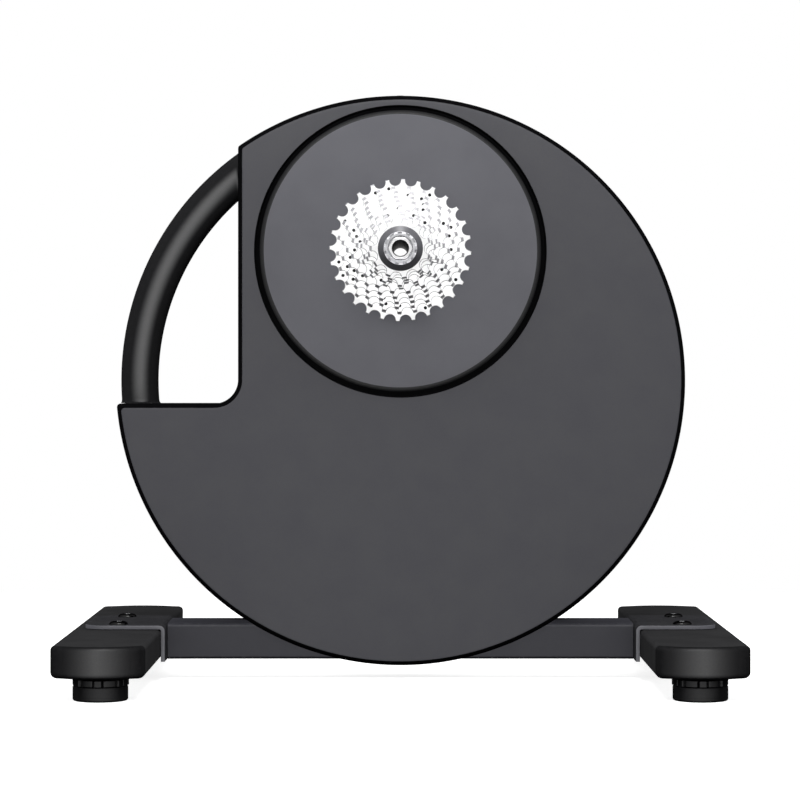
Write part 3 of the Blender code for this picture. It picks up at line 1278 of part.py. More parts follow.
def make_drive():
    make_inner_frame()
    make_axle()
    make_electronics()
    make_flywheel()
    make_belt()
    axis = axis_empty("drive_axis", (0, 0, AXLE_Z))
    make_drive_pulley(axis)
    make_freehub(axis)
    make_cogs(axis)
    make_lockring(axis)


make_base()
make_housing()
make_drive()
bpy.context.view_layer.update()
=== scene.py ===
"""A direct-drive bicycle trainer, dressed over its fixed frame.

The rear wheel is taken off the bicycle, and the frame is clamped on the trainer's hollow axle.
Everything is in metres. The drive side faces -Y; seen from there, +X is to the right and +Z is up.
"""

import json
import math
from functools import partial

import bmesh
import bpy
import numpy as np
from bpy.props import FloatProperty, FloatVectorProperty, IntProperty, PointerProperty
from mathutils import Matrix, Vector
from mathutils.geometry import delaunay_2d_cdt

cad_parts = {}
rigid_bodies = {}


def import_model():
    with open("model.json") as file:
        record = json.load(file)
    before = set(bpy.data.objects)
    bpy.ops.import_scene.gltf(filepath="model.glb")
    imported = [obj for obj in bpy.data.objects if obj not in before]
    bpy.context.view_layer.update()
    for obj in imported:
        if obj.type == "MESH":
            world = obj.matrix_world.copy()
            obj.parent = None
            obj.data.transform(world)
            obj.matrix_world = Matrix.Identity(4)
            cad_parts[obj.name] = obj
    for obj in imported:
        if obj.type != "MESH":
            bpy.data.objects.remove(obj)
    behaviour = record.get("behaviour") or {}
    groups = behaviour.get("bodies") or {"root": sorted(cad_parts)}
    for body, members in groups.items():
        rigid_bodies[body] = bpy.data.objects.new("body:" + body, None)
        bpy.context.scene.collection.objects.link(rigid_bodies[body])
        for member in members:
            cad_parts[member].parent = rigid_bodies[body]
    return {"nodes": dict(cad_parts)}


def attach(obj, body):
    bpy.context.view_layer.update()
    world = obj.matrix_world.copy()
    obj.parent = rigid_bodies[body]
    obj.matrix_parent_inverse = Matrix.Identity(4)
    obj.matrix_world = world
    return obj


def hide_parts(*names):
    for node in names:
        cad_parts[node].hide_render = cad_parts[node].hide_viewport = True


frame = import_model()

bl_info = {
    "name": "Direct-drive bicycle trainer",
    "version": (1, 0, 0),
    "blender": (4, 5, 0),
    "location": "3D View > Sidebar > Trainer",
    "description": "Detailed surfaces and finishes for a direct-drive bicycle trainer",
    "category": "Add Mesh",
}

MERGE = 2e-6  # points closer than this become one

# Housing
HOUSING_Z = 0.251
HOUSING_RADIUS = 0.2385
HALF_DEPTH = 0.040
WALL = 0.003
SEAM = 0.00003  # half of the line where the two shells meet
TIP_ROUND = 0.003
NOTCH_X = -0.136  # the hand notch's upright wall
LEDGE_Z = 0.2317  # and its ledge
NOTCH_CORNER = 0.020
SLOT_LOW = 0.0166  # the cross beam comes out between these heights
SLOT_HIGH = 0.0478
SLOT_HALF = 0.0306
PASSAGE_RADIUS = 0.0116  # opening for the handle's tube
AXLE_Z = 0.359
AXLE_AT = (0, AXLE_Z)
FLYWHEEL_Z = 0.19825
FACE_MARGIN = 0.0005  # the flat face starts this far inside the rounded edge
ROUND_STEPS = 12
RECESS_RADIUS = 0.1212  # the lid sits in this recess
RECESS_MOUTH = RECESS_RADIUS + 0.0012
RECESS_FLOOR = -0.034
CUP_RADIUS = 0.1245  # the recess seen from inside
HUB_HOLE = 0.024
CAP_HOLE = 0.0111
HOLE_EDGE = 0.0004
VENTS = 9
VENT_REACH = (0.034, 0.072)  # from the flywheel's middle to both ends of a cooling slot
VENT_WIDTH = 0.004
BOSS_RADIUS = 0.0055
BOSS_END = 0.028
COUNTERBORE = 0.0041
COUNTERBORE_FLOOR = 0.0325
WELL_MOUTH = COUNTERBORE + 0.0008
SCREW_HOLE = 0.0019
SHELL_SCREWS = ((0.1501, 0.4011), (0.1650, 0.1174), (-0.1650, 0.1174), (-0.1215, 0.2867))
INLET_AT = (0.12508, 0.10506)
INLET_HOLE = 0.0065
LENS_Y = -0.0315

# Cover over the drive pulley
COVER_RADIUS = 0.1173
COVER_FACE = -0.052
COVER_BASE = -0.0343
COVER_HOLE = 0.0215
COVER_WALL = 0.0025
ROLL_STEPS = 16
PRY_HEIGHT = 0.003
PRY_SPAN = (15.98, 20.04)  # degrees from the lowest point

# Handle
HANDLE_RADIUS = 0.2224
GRIP_ARC = 0.2212  # the sleeve sits a little inwards on its tube
GRIP_TURN = 57.3  # degrees of the arc that the sleeve covers
GRIP_RADIUS = 0.0158
GRIP_BORE = 0.0113
GRIP_SINK = 0.0002  # how deep the sleeve's ends go into the housing

# Cassette
TEETH = (28, 25, 23, 21, 19, 17, 15, 14, 13, 12, 11)
TURNED = (10.7, 10.0, 0.5, 8.8, 17.4, 5.1, 7.0, 12.0, 3.0, 11.0, 16.0)  # degrees to the first tooth
PIN_HOLES = {  # teeth that have a small hole at their foot, by how many teeth the cog has
    28: (4, 7, 8, 11, 14, 15, 18, 22, 25),
    25: (1, 4, 5, 13, 14, 17, 18),
    23: (0, 1, 2, 4, 5, 10, 12, 13, 16),
    21: (3, 9, 10, 12, 19),
    19: (4, 8),
    17: (0, 2, 3, 4, 5, 8, 11),
}
PIN_MOUTH = 0.0014
PIN_RADIUS = 0.0013
PIN_DEPTH = 0.0009
FIRST_COG = -0.056
COG_PITCH = 0.00374
COG_PLATE = 0.0016
CHAIN_PITCH = 0.0127
GAP_TURN = 75  # degrees of a gap's arc on each side of its middle line
TOOTH_PROUD = 0.0026
TIP_DEPTH = 0.0011  # how deep the slope of a tip goes into the plate
HOLE_DROP = 0.0047  # from the pitch circle in to the small holes
SPLINES = 9
SPLINE_HALF = 0.0025
SPLINE_GAP = 0.0003
SPLINE_ROOT = 0.0163
SPLINE_TIP = 0.0175
COLLAR_BORE = 0.0182
COLLAR_RADIUS = 0.0198

# Beam, brackets and legs
BEAM_HALF = 0.1956
BEAM_LOW = 0.0172
BEAM_HIGH = 0.0472
BEAM_SIDE = 0.030
BEAM_CORNER = 0.003
BEAM_CHAMFER = 0.0003
PLATE_X = 0.1959
PLATE_END = 0.2636
PLATE_SIDE = 0.055
PLATE_CORNER = 0.020
PLATE = 0.0032
BEND = 0.0045
LEG_X = 0.2356
LEG_OUT = 0.00095  # the casting reaches this much further out than its screws' middle
LEG_WIDTH = 0.0743
LEG_LENGTH = 0.438
LEG_BOW = 0.010
LEG_CORNER = 0.008
LEG_LOW = 0.0182
LEG_HIGH = 0.0437
LEG_MARGIN = 0.0004  # its flat faces start this far inside its rounded edges
POCKET_ROOF = 0.0387
POCKETS_ALONG = ((-0.172, -0.054), (-0.026, 0.026), (0.054, 0.172))
POCKETS_ACROSS = ((-0.0312, -0.0025), (0.0025, 0.0312))
SCREW_Y = 0.040

# Feet
FOOT_Y = 0.190
FEET = {
    "front_right": (LEG_X, -FOOT_Y),
    "front_left": (LEG_X, FOOT_Y),
    "rear_right": (-LEG_X, -FOOT_Y),
    "rear_left": (-LEG_X, FOOT_Y),
}
WHEEL_SIDES = 504
WHEEL_RADIUS = 0.0215
WHEEL_TOP = 0.0172
RIB_WIDTH = 0.006
STUD_RADIUS = 0.0050
STUD_END = 0.0396
THREAD_PITCH = 0.0015
THREAD_DEPTH = 0.0007


# Lines and outlines


def toward(angle):
    """Unit vectors (cos, sin) at angles in radians."""
    return np.stack([np.cos(angle), np.sin(angle)], -1)


def arc(centre, radius, start, end, count):
    """Points at centre plus radius times (cos, sin) of angles evenly from start to end, in degrees."""
    return np.asarray(centre) + radius * toward(np.radians(np.linspace(start, end, count)))


def ring(centre, radius, count):
    """A closed circle, its last point left out because it is the first one."""
    return arc(centre, radius, 0, 360, count + 1)[:-1]


def line(start, end, shares):
    """Points from start to end at the given shares of the way."""
    start, end = np.asarray(start, float), np.asarray(end, float)
    return start + (end - start) * np.asarray(shares)[:, None]


def quarter(radius, count):
    """A quarter circle over an edge, from the face to the side: radius (1 - sin t) is how far it stands
    in from the side, and radius (1 - cos t) how far it stands off the face."""
    turn = np.linspace(0, np.pi / 2, count)
    return radius * (1 - np.sin(turn)), radius * (1 - np.cos(turn))


def unit(vectors):
    """Vectors divided by their own length."""
    return vectors / np.maximum(np.linalg.norm(vectors, axis=-1, keepdims=True), 1e-12)


def rounded(corners, steps=6, hold=0.0004, closed=False):
    """A line through corners (across, along, radius). Each corner becomes an arc that touches both of
    its sides: its centre lies on the bisector at radius / sin(half the corner), and its points swing
    from one touching point to the other. One more point stands at each end of the arc, hold away."""
    corners = np.asarray(corners, float)
    spot, radius = corners[:, :2], corners[:, 2:]
    before, after = np.roll(spot, 1, 0) - spot, np.roll(spot, -1, 0) - spot
    back, ahead = unit(before), unit(after)
    half = np.arccos(np.clip((back * ahead).sum(-1, keepdims=True), -0.999999, 0.999999)) / 2
    reach = radius / np.tan(half)
    centre = spot + unit(back + ahead) * radius / np.sin(half)
    turn = (np.pi - 2 * half)[:, None]
    share = np.linspace(0, 1, steps)[None, :, None]
    from_start = (spot + back * reach - centre)[:, None]
    from_end = (spot + ahead * reach - centre)[:, None]
    arcs = np.sin((1 - share) * turn) * from_start + np.sin(share * turn) * from_end
    arcs = centre[:, None] + arcs / np.sin(turn)
    ends = []
    for way, side in ((back, before), (ahead, after)):
        room = 0.3 * np.maximum(np.linalg.norm(side, axis=-1, keepdims=True) - reach, 0)
        ends.append((spot + way * (reach + np.minimum(hold, room)))[:, None])
    groups = np.concatenate([ends[0], arcs, ends[1]], 1)
    if not closed:
        groups[0], groups[-1] = spot[0], spot[-1]
    return groups.reshape(-1, 2)


def outward(loop):
    """Unit normals of a counter-clockwise loop: the chord between neighbours, turned by a right angle."""
    chord = np.roll(loop, -1, 0) - np.roll(loop, 1, 0)
    return unit(np.stack([chord[:, 1], -chord[:, 0]], -1))


def bar(start, end, width, count):
    """A slot outline with round ends, from start to end."""
    lean = math.degrees(math.atan2(*(end - start)[::-1]))
    tail = arc(start, width / 2, lean + 90, lean + 270, count)
    return np.concatenate([tail, arc(end, width / 2, lean - 90, lean + 90, count)])


# Surfaces. A patch is its points, its faces, and the number of its finish or of each face's


def lift(flat, level, axis="Y"):
    """Puts a drawing in space: its plane is square to the axis, and level is measured along the axis."""
    across, up, level = np.broadcast_arrays(flat[..., 0], flat[..., 1], level)
    order = {"X": (level, across, up), "Y": (across, level, up), "Z": (across, up, level)}
    return np.stack(order[axis], -1)


def sheet(points, finish=0, close_rows=False, close_columns=True):
    """A grid of points as a patch: every four neighbours make a face."""
    rows, columns = points.shape[:2]
    i = np.arange(rows if close_rows else rows - 1)[:, None]
    j = np.arange(columns if close_columns else columns - 1)[None, :]
    i, j = np.broadcast_arrays(i, j)
    down, side = (i + 1) % rows, (j + 1) % columns
    corners = [i * columns + j, i * columns + side, down * columns + side, down * columns + j]
    return points.reshape(-1, 3), np.stack(corners, -1).reshape(-1, 4), finish


def turned(profile, centre, sides=96, finish=0, axis="Y", shape=None, angles=None):
    """A surface of revolution: across = centre + radius cos(angle), up = centre + radius sin(angle) and
    level along the axis, for each (radius, level) of the profile. shape bends both by the angle."""
    if angles is None:
        angles = np.linspace(0, 2 * np.pi, sides, endpoint=False)
    profile = np.asarray(profile, float)
    radius, level = profile[:, :1], profile[:, 1:]
    if shape:
        radius, level = shape(radius, level, angles[None])
    return sheet(lift(np.asarray(centre) + radius[..., None] * toward(angles), level, axis), finish)


def walled(loop, growth, level, axis="Y"):
    """The wall of a hole: each row is its loop, widened along its outward normals by that row's growth
    and set at that row's level."""
    rows = loop + outward(loop) * np.asarray(growth)[:, None, None]
    return rows, sheet(lift(rows, np.asarray(level)[:, None], axis))


def filled(loops, level, axis="Y"):
    """A flat face between an outline and the holes in it, as Delaunay triangles over their points. A
    triangle stays if a line from its middle crosses the outlines an odd number of times."""
    clean = [loop[np.linalg.norm(np.roll(loop, -1, 0) - loop, axis=-1) > MERGE] for loop in loops]
    spots = np.concatenate(clean)
    edges = []
    start = 0
    for loop in clean:
        index = np.arange(len(loop))
        edges += (start + np.stack([index, (index + 1) % len(loop)], -1)).tolist()
        start += len(loop)
    result = delaunay_2d_cdt([Vector(spot) for spot in spots.tolist()], edges, [], 0, 1e-9)
    flat = np.array([tuple(spot) for spot in result[0]])
    faces = np.array(result[2])
    across, up = flat[faces].mean(1).T[..., None]
    (x, z), (x_next, z_next) = spots.T, np.concatenate([np.roll(loop, -1, 0) for loop in clean]).T
    straddles = (z > up) != (z_next > up)
    rise = np.where(z_next == z, 1, z_next - z)
    crosses = straddles & (across < x + (up - z) * (x_next - x) / rise)
    return lift(flat, level, axis), faces[crosses.sum(-1) % 2 == 1], 0


def mark_wear(mesh):
    """Gives each point the value wear: how far its sharpest outward edge bends, 1 at 30 degrees and up."""

    def read(data, field, count, kind):
        values = np.empty(count, kind)
        data.foreach_get(field, values)
        return values

    faces = len(mesh.polygons)
    edge_of = read(mesh.loops, "edge_index", len(mesh.loops), np.int32)
    sides = read(mesh.polygons, "loop_total", faces, np.int32)
    normal = read(mesh.polygons, "normal", faces * 3, np.float32).reshape(-1, 3)
    middle = read(mesh.polygons, "center", faces * 3, np.float32).reshape(-1, 3)
    ends = read(mesh.edges, "vertices", len(mesh.edges) * 2, np.int32).reshape(-1, 2)
    order = np.argsort(edge_of, kind="stable")
    edge, face = edge_of[order], np.repeat(np.arange(faces), sides)[order]
    shared = edge[1:] == edge[:-1]
    one, other, edge = face[:-1][shared], face[1:][shared], edge[1:][shared]
    bend = np.arccos(np.clip((normal[one] * normal[other]).sum(-1), -1, 1)) / math.radians(30)
    outside = ((middle[other] - middle[one]) * normal[one]).sum(-1) < 0
    bend = np.where(outside, np.minimum(bend, 1), 0)
    wear = np.zeros(len(mesh.vertices), np.float32)
    for end in ends[edge].T:
        np.maximum.at(wear, end, bend)
    mesh.attributes.new("wear", "FLOAT", "POINT").data.foreach_set("value", wear)


def make_piece(name, patches, finishes, body, nodes, sharp=32):
    """Joins patches into one mesh: points that meet are merged, then faces are turned outwards."""
    starts = np.cumsum([0] + [len(points) for points, _, _ in patches])
    faces = [face for (_, part, _), start in zip(patches, starts) for face in (part + start).tolist()]
    numbers = [np.broadcast_to(finish, len(part)) for _, part, finish in patches]
    mesh = bpy.data.meshes.new(name)
    mesh.from_pydata(np.concatenate([points for points, _, _ in patches]).tolist(), [], faces)
    mesh.polygons.foreach_set("material_index", np.concatenate(numbers).astype(np.int32))
    form = bmesh.new()
    form.from_mesh(mesh)
    bmesh.ops.remove_doubles(form, verts=form.verts, dist=MERGE)
    bmesh.ops.dissolve_degenerate(form, edges=form.edges, dist=MERGE / 4)
    bmesh.ops.recalc_face_normals(form, faces=form.faces)
    form.to_mesh(mesh)
    form.free()
    mesh.polygons.foreach_set("use_smooth", [True] * len(mesh.polygons))
    mesh.set_sharp_from_angle(angle=math.radians(sharp))
    for finish in finishes:
        mesh.materials.append(finish_named(finish))
    mark_wear(mesh)
    piece = bpy.data.objects.new(name, mesh)
    bpy.context.scene.collection.objects.link(piece)
    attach(piece, body)
    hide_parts(*nodes)


# Finishes


def setting(group):
    """The values that the panel shows for one group."""
    return getattr(bpy.context.scene, "trainer_" + group)


def srgb(code):
    """A colour written as six hexadecimal digits, turned into linear light."""
    part = np.array([int(code[i : i + 2], 16) for i in (0, 2, 4)]) / 255
    light = np.where(part <= 0.04045, part / 12.92, ((part + 0.055) / 1.055) ** 2.4)
    return (*light.tolist(), 1.0)


def node(tree, kind, inputs=(), output=0, **settings):
    """Adds one shader node with its own settings, puts a value or a link on its inputs, which are listed
    in order or by name or number, and gives one of its outputs."""
    made = tree.nodes.new("ShaderNode" + kind)
    for name, value in settings.items():
        setattr(made, name, value)
    for name, value in inputs.items() if isinstance(inputs, dict) else enumerate(inputs):
        if isinstance(value, bpy.types.NodeSocket):
            tree.links.new(value, made.inputs[name])
        else:
            made.inputs[name].default_value = value
    return made.outputs[output] if made.outputs else None


# The three colours are the finish's own, its shade in patches and its shade where an edge is worn; one
# with a dot in it is the panel's. rough is the lowest and highest roughness. Grain and relief are in
# millimetres. The real grains are finer, 0.1 to 0.3 mm, and the tool rings finer still: they are drawn
# as coarse as they need to be to show in the render
FINISHES = {
    # ABS moulded in a spark-eroded tool: an even dark grey with a fine dull grain
    "housing_plastic": dict(
        colours=("housing.face", "35353a", "4c4c50"), rough=(0.50, 0.62), grain=0.9, relief=0.04,
        gloss=0.45, fade=0.3,
    ),
    # The same ABS, a little smoother, near black round the rim and in the lid's recess: painted shade, a
    # dark line round the face
    "housing_rim": dict(
        colours=("housing.rim", "09090a", "161617"), rough=(0.50, 0.62), grain=0.9, relief=0.03,
        gloss=0.0, wear=0.2,
    ),
    # The same ABS again on the straight side, as grained as the face, and darker: painted shade
    "housing_side": dict(
        colours=("housing.side", "1a1a1c", "39393b"), rough=(0.50, 0.62), grain=0.9, relief=0.04,
        gloss=0.4, fade=0.9, wear=0.2,
    ),
    # ABS from a smoother tool: a lighter, very even grey
    "cover_plastic": dict(
        colours=("cover.face", "626267", "74747a"), rough=(0.46, 0.52), grain=0.8, relief=0.02, gloss=0.05
    ),
    # The rolled edge and the side of the lid, of the same ABS: nearly black where it turns away, painted
    # shade
    "cover_edge": dict(
        colours=("cover.edge", "161617", "242426"), rough=(0.50, 0.62), grain=0.9, relief=0.03,
        gloss=0.28, fade=0.9,
    ),
    # Die-cast aluminium under textured black powder: dark grey, slightly pebbled and dull
    "cast_leg": dict(
        colours=("base.leg", "2b2b2c", "3e3e41"), rough=(0.48, 0.62), grain=1.4, relief=0.08,
        gloss=0.0, wear=0.25,
    ),
    # The same casting at its bowed ends: blacker, painted shade, with a painted highlight in the middle
    "leg_end": dict(
        colours=("base.leg_end", "19191a", "3a3a3c"), rough=(0.48, 0.62), grain=1.4, relief=0.05,
        gloss=0.66, fade=0.45, wear=0.2, highlight_band=(0.002, 0.034),
    ),
    # Steel under smooth black powder: an orange-peel skin with a low shine
    "painted_steel": dict(
        colours=("base.steel", "35353a", "4c4c50"), rough=(0.42, 0.52), grain=2.2, relief=0.05,
        gloss=0.3, fade=0.3,
    ),
    # The same powder on the bent plates
    "plate_steel": dict(
        colours=("base.plate", "2b2b2d", "46464a"), rough=(0.40, 0.50), grain=2.2, relief=0.05,
        gloss=0.5, fade=0.3,
    ),
    # The plates' narrow edges: a lighter copy of their paint, a painted highlight that shows as a lighter
    # line
    "sheared_edge": dict(
        colours=("64646a", "5e5e63", "77777c"), rough=(0.40, 0.50), grain=1.2, relief=0.03,
        gloss=1.0, fade=0.3,
    ),
    # Screw steel blackened in hot salts and oiled: nearly black, with a sharp shine
    "black_screw": dict(
        colours=("050505", "070708", "101011"), rough=(0.14, 0.20), grain=0.6, relief=0.006,
        gloss=0.5, fade=0.6,
    ),
    # The same screw in its socket: a pale, half-metal copy, a painted highlight that shows as a small bright
    # spot
    "rubbed_socket": dict(
        colours=("7c7c7f", "4a4a4d", "b4b4b7"), rough=(0.28, 0.42), grain=0.6, relief=0.02, metal=0.5
    ),
    # Thermoplastic elastomer moulded over the tube: black, with a soft highlight along its middle
    "grip_rubber": dict(
        colours=("handle.colour", "1f1f20", "343436"), rough=(0.50, 0.62), grain=0.7, relief=0.03,
        gloss=0.97, fade=0.16,
    ),
    # Moulded rubber foot: deep black, dull, grey where it rubs on the floor
    "foot_rubber": dict(
        colours=("151516", "1a1a1b", "2c2c2e"), rough=(0.55, 0.70), grain=0.8, relief=0.06,
        gloss=0.3, fade=0.32,
    ),
    # Black oxide on a turned thumbwheel: dark, with a faint shine on the ribs
    "thumbwheel_steel": dict(
        colours=("141415", "101011", "363638"), rough=(0.40, 0.52), grain=0.6, relief=0.02,
        gloss=0.3, fade=0.32,
    ),
    # Stamped steel, blasted and nickel plated: so pale and matt that it looks white in front light
    "cassette_steel": dict(
        colours=("cassette.plate", "dcdcdc", "f7f7f7"), rough=(0.45, 0.60), grain=0.8, relief=0.006,
        gloss=0.2, rings=AXLE_Z,
    ),
    # The same steel on the teeth's sides, chamfers and sloped tips and on the collars: rougher in relief,
    # and darker as painted shade, so that each tooth has an outline
    "cassette_edge": dict(
        colours=("8a8a8c", "7d7d80", "acacae"), rough=(0.45, 0.60), grain=0.6, relief=0.02, gloss=0.2
    ),
    # Turned aluminium, anodised grey: soft, darker where it leans away from the light
    "lockring_alloy": dict(
        colours=("4a4a4d", "464649", "68686b"), rough=(0.35, 0.45), grain=0.5, relief=0.006,
        gloss=0.1, rings=AXLE_Z,
    ),
    # The same ring on the flat that its tool grips: paler
    "lockring_face": dict(
        colours=("b4b4b7", "a8a8ab", "cacacc"), rough=(0.35, 0.45), grain=0.5, relief=0.006,
        gloss=0.1, rings=AXLE_Z,
    ),
    # Turned and polished aluminium: bright, with a soft satin
    "cap_alloy": dict(
        colours=("ececec", "e0e0e1", "f2f2f2"), rough=(0.18, 0.28), grain=0.5, relief=0.004,
        metal=0.9, rings=AXLE_Z,
    ),
    # Inside the axle, its caps, the lockring and the cogs' small holes: near black, painted shade, a dark
    # hole with a dull wall
    "axle_steel": dict(
        colours=("1a1a1b", "232324", "48484b"), rough=(0.45, 0.60), grain=0.8, relief=0.02, gloss=0.1
    ),
    # Milled aluminium with nothing on it: mid grey, with fine tool rings
    "pulley_alloy": dict(
        colours=("b2b2b5", "a5a5a8", "cfcfd2"), rough=(0.30, 0.42), grain=0.6, relief=0.01,
        metal=1.0, rings=AXLE_Z, from_mesh=True,
    ),
    # Hot-rolled steel, wiped with oil: grey-brown and blotchy
    "bare_steel": dict(
        colours=("7d7b78", "6a6764", "a9a8a6"), rough=(0.36, 0.52), grain=1.2, relief=0.02,
        metal=1.0, from_mesh=True,
    ),
    # Hardened chrome steel, ground: bright and even
    "bearing_steel": dict(
        colours=("bcbdc0", "aeafb2", "d9dadd"), rough=(0.18, 0.30), grain=0.5, relief=0.006,
        metal=1.0, from_mesh=True,
    ),
    # Cast iron, turned on its outside: dark grey with rings
    "flywheel_iron": dict(
        colours=("68696c", "595a5c", "96979a"), rough=(0.34, 0.50), grain=0.9, relief=0.02,
        metal=1.0, rings=FLYWHEEL_Z, from_mesh=True,
    ),
    # Enamelled copper wire, wound tight: brown-red, with the lines of its turns
    "stator_winding": dict(
        colours=("9c5a33", "7f4526", "c98a5c"), rough=(0.30, 0.45), grain=1.1, relief=0.2,
        metal=0.8, rings=FLYWHEEL_Z, from_mesh=True,
    ),
    # Glass-fibre board under green lacquer: a weave that shows as a faint pattern
    "board": dict(
        colours=("1d5c39", "174b2f", "4f8062"), rough=(0.30, 0.42), grain=0.9, relief=0.03, from_mesh=True
    ),
    # Nylon socket: black and slightly shiny
    "inlet_plastic": dict(
        colours=("1b1b1c", "232324", "454548"), rough=(0.35, 0.48), grain=0.8, relief=0.02
    ),
    # Ribbed rubber belt: black and dull
    "belt_rubber": dict(
        colours=("1d1d1e", "262627", "3c3c3e"), rough=(0.60, 0.75), grain=1.2, relief=0.08, from_mesh=True
    ),
    # Milky polycarbonate light guide: pale and softly shiny
    "light_lens": dict(
        colours=("8a8a86", "7d7d7a", "a6a6a2"), rough=(0.20, 0.30), grain=0.8, relief=0.01
    ),
}
PATCH = 0.03  # size of the shaded patches
SCUFF = 0.004  # size of the gaps in the wear


def colour_of(code):
    """A colour of the table: the panel's if it is written as group.name, or else six digits."""
    group, _, name = code.partition(".")
    return tuple(getattr(setting(group), name)) if name else srgb(code)


def finish_named(name):
    """A finish from the table, made when it is first asked for."""
    made = bpy.data.materials.get(name + "_finish")
    return made or make_finish(name + "_finish", **FINISHES[name])


def make_finish(
    name, colours, rough, grain, relief, metal=0.0, wear=0.5, gloss=0.5, fade=None, rings=None,
    from_mesh=False, highlight_band=None,
):
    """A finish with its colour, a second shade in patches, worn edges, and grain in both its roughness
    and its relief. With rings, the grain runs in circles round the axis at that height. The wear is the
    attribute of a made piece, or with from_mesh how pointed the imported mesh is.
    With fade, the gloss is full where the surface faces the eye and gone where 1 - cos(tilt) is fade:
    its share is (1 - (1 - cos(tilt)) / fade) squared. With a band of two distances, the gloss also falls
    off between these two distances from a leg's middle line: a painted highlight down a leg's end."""
    material = bpy.data.materials.new(name)
    material.use_nodes = True
    tree = material.node_tree
    tree.nodes.clear()
    add = partial(node, tree)
    place = add("TexCoord", output="Object")
    noise = {"Vector": place, "Roughness": 0.55}
    patches = add("TexNoise", {**noise, "Scale": 1 / PATCH, "Detail": 4.0})
    patches = add("MapRange", [patches, 0.35, 0.70])
    if rings:
        middle = add("VectorMath", [place, (0, 0, rings)], operation="SUBTRACT")
        flat = add("VectorMath", [middle, (1, 0, 1)], operation="MULTIPLY")
        radius = add("VectorMath", [flat], "Value", operation="LENGTH")
        inputs = {"W": radius, "Scale": 1000 / grain, "Detail": 2.0}
        fine = add("TexNoise", inputs, noise_dimensions="1D")
    else:
        fine = add("TexNoise", {**noise, "Scale": 1000 / grain, "Detail": 3.0})
    if from_mesh:
        pointed = add("NewGeometry", output="Pointiness")
        edge = add("MapRange", [pointed, 0.52, 0.60])
    else:
        edge = add("Attribute", output="Fac", attribute_name="wear")
    scuffed = add("TexNoise", {**noise, "Scale": 1 / SCUFF, "Detail": 4.0})
    scuffed = add("MapRange", [scuffed, 0.45, 0.62])
    rubbed = add("Math", [edge, scuffed], operation="MULTIPLY")
    rubbed = add("MapRange", [rubbed, 0.0, 1.0, 0.0, wear])
    base, faded, worn = map(colour_of, colours)
    shade = add("Mix", {0: patches, 6: base, 7: faded}, 2, data_type="RGBA")
    shade = add("Mix", {0: rubbed, 6: shade, 7: worn}, 2, data_type="RGBA")
    if fade:
        facing = add("LayerWeight", {"Blend": 0.5}, "Facing")
        share = add("MapRange", [facing, 0.0, fade, 1.0, 0.0])
        share = add("Math", [share, 2.0], operation="POWER")
        gloss = add("Math", [share, gloss], operation="MULTIPLY")
    # A painted highlight: the gloss fades out away from a leg's middle line
    if highlight_band:
        across = add("SeparateXYZ", [place], "X")
        for away in (LEG_X + LEG_OUT, 0.0):
            across = add("Math", [across], operation="ABSOLUTE")
            across = add("Math", [across, away], operation="SUBTRACT")
        share = add("MapRange", [across, *highlight_band, 1.0, 0.0])
        gloss = add("Math", [gloss, share], operation="MULTIPLY")
    inputs = {
        "Base Color": shade,
        "Roughness": add("MapRange", [fine, 0.3, 0.7, *rough]),
        "Metallic": metal,
        "Specular IOR Level": gloss,
        "Normal": add("Bump", {"Height": fine, "Strength": 0.5, "Distance": relief / 1000}),
    }
    add("OutputMaterial", {"Surface": add("BsdfPrincipled", inputs)})
    return material


# Housing


def arc_cuts(top, left):
    """Angles where the housing's large arc changes: the beam's slot opens and closes on both sides."""
    high = math.degrees(math.asin((SLOT_HIGH - HOUSING_Z) / HOUSING_RADIUS))
    low = math.degrees(math.asin((SLOT_LOW - HOUSING_Z) / HOUSING_RADIUS))
    return (top, high, low, -180 - low, -180 - high, left)


ARC_COUNTS = (560, 60, 36, 60, 170)  # points between the cuts
TIP_COUNT = 10
CORNER_COUNT = 26
STRAIGHT_COUNT = 40
PASSAGE_COUNT = 41
TIP_REACH = HOUSING_RADIUS - TIP_ROUND
LEDGE_START = -math.sqrt(TIP_REACH**2 - (LEDGE_Z - TIP_ROUND - HOUSING_Z) ** 2)
WALL_END = HOUSING_Z + math.sqrt(TIP_REACH**2 - (NOTCH_X + TIP_ROUND) ** 2)
LEDGE_PASS = -math.sqrt(HANDLE_RADIUS**2 - (HOUSING_Z - LEDGE_Z) ** 2)
WALL_PASS = HOUSING_Z + math.sqrt(HANDLE_RADIUS**2 - NOTCH_X**2)
# Each straight edge of the notch: its start and end, where the handle goes through it, and the cosine
# between the handle and the edge's normal
LEDGE = (LEDGE_START, NOTCH_X - NOTCH_CORNER, LEDGE_PASS, abs(LEDGE_PASS) / HANDLE_RADIUS)
UPRIGHT = (LEDGE_Z + NOTCH_CORNER, WALL_END, WALL_PASS, (WALL_PASS - HOUSING_Z) / HANDLE_RADIUS)


def pass_shares(start, end, middle, lean):
    """Shares along a straight edge, closer together round the opening for the handle."""
    even = np.linspace(0, 1, STRAIGHT_COUNT)
    off = PASSAGE_RADIUS / lean * np.cos(np.linspace(0, np.pi, PASSAGE_COUNT))
    close = (middle + off - start) / (end - start)
    return np.unique(np.round(np.concatenate([even, close[(close > 0) & (close < 1)]]), 9))


def pass_heights(shares, start, end, middle, lean):
    """Half the opening's height at each share of an edge: the height of the circle that it cuts."""
    off = (start + (end - start) * shares - middle) * lean
    return np.maximum(np.sqrt(np.maximum(PASSAGE_RADIUS**2 - off**2, 0)), SEAM)


LEDGE_SHARES = pass_shares(*LEDGE)
WALL_SHARES = pass_shares(*UPRIGHT)


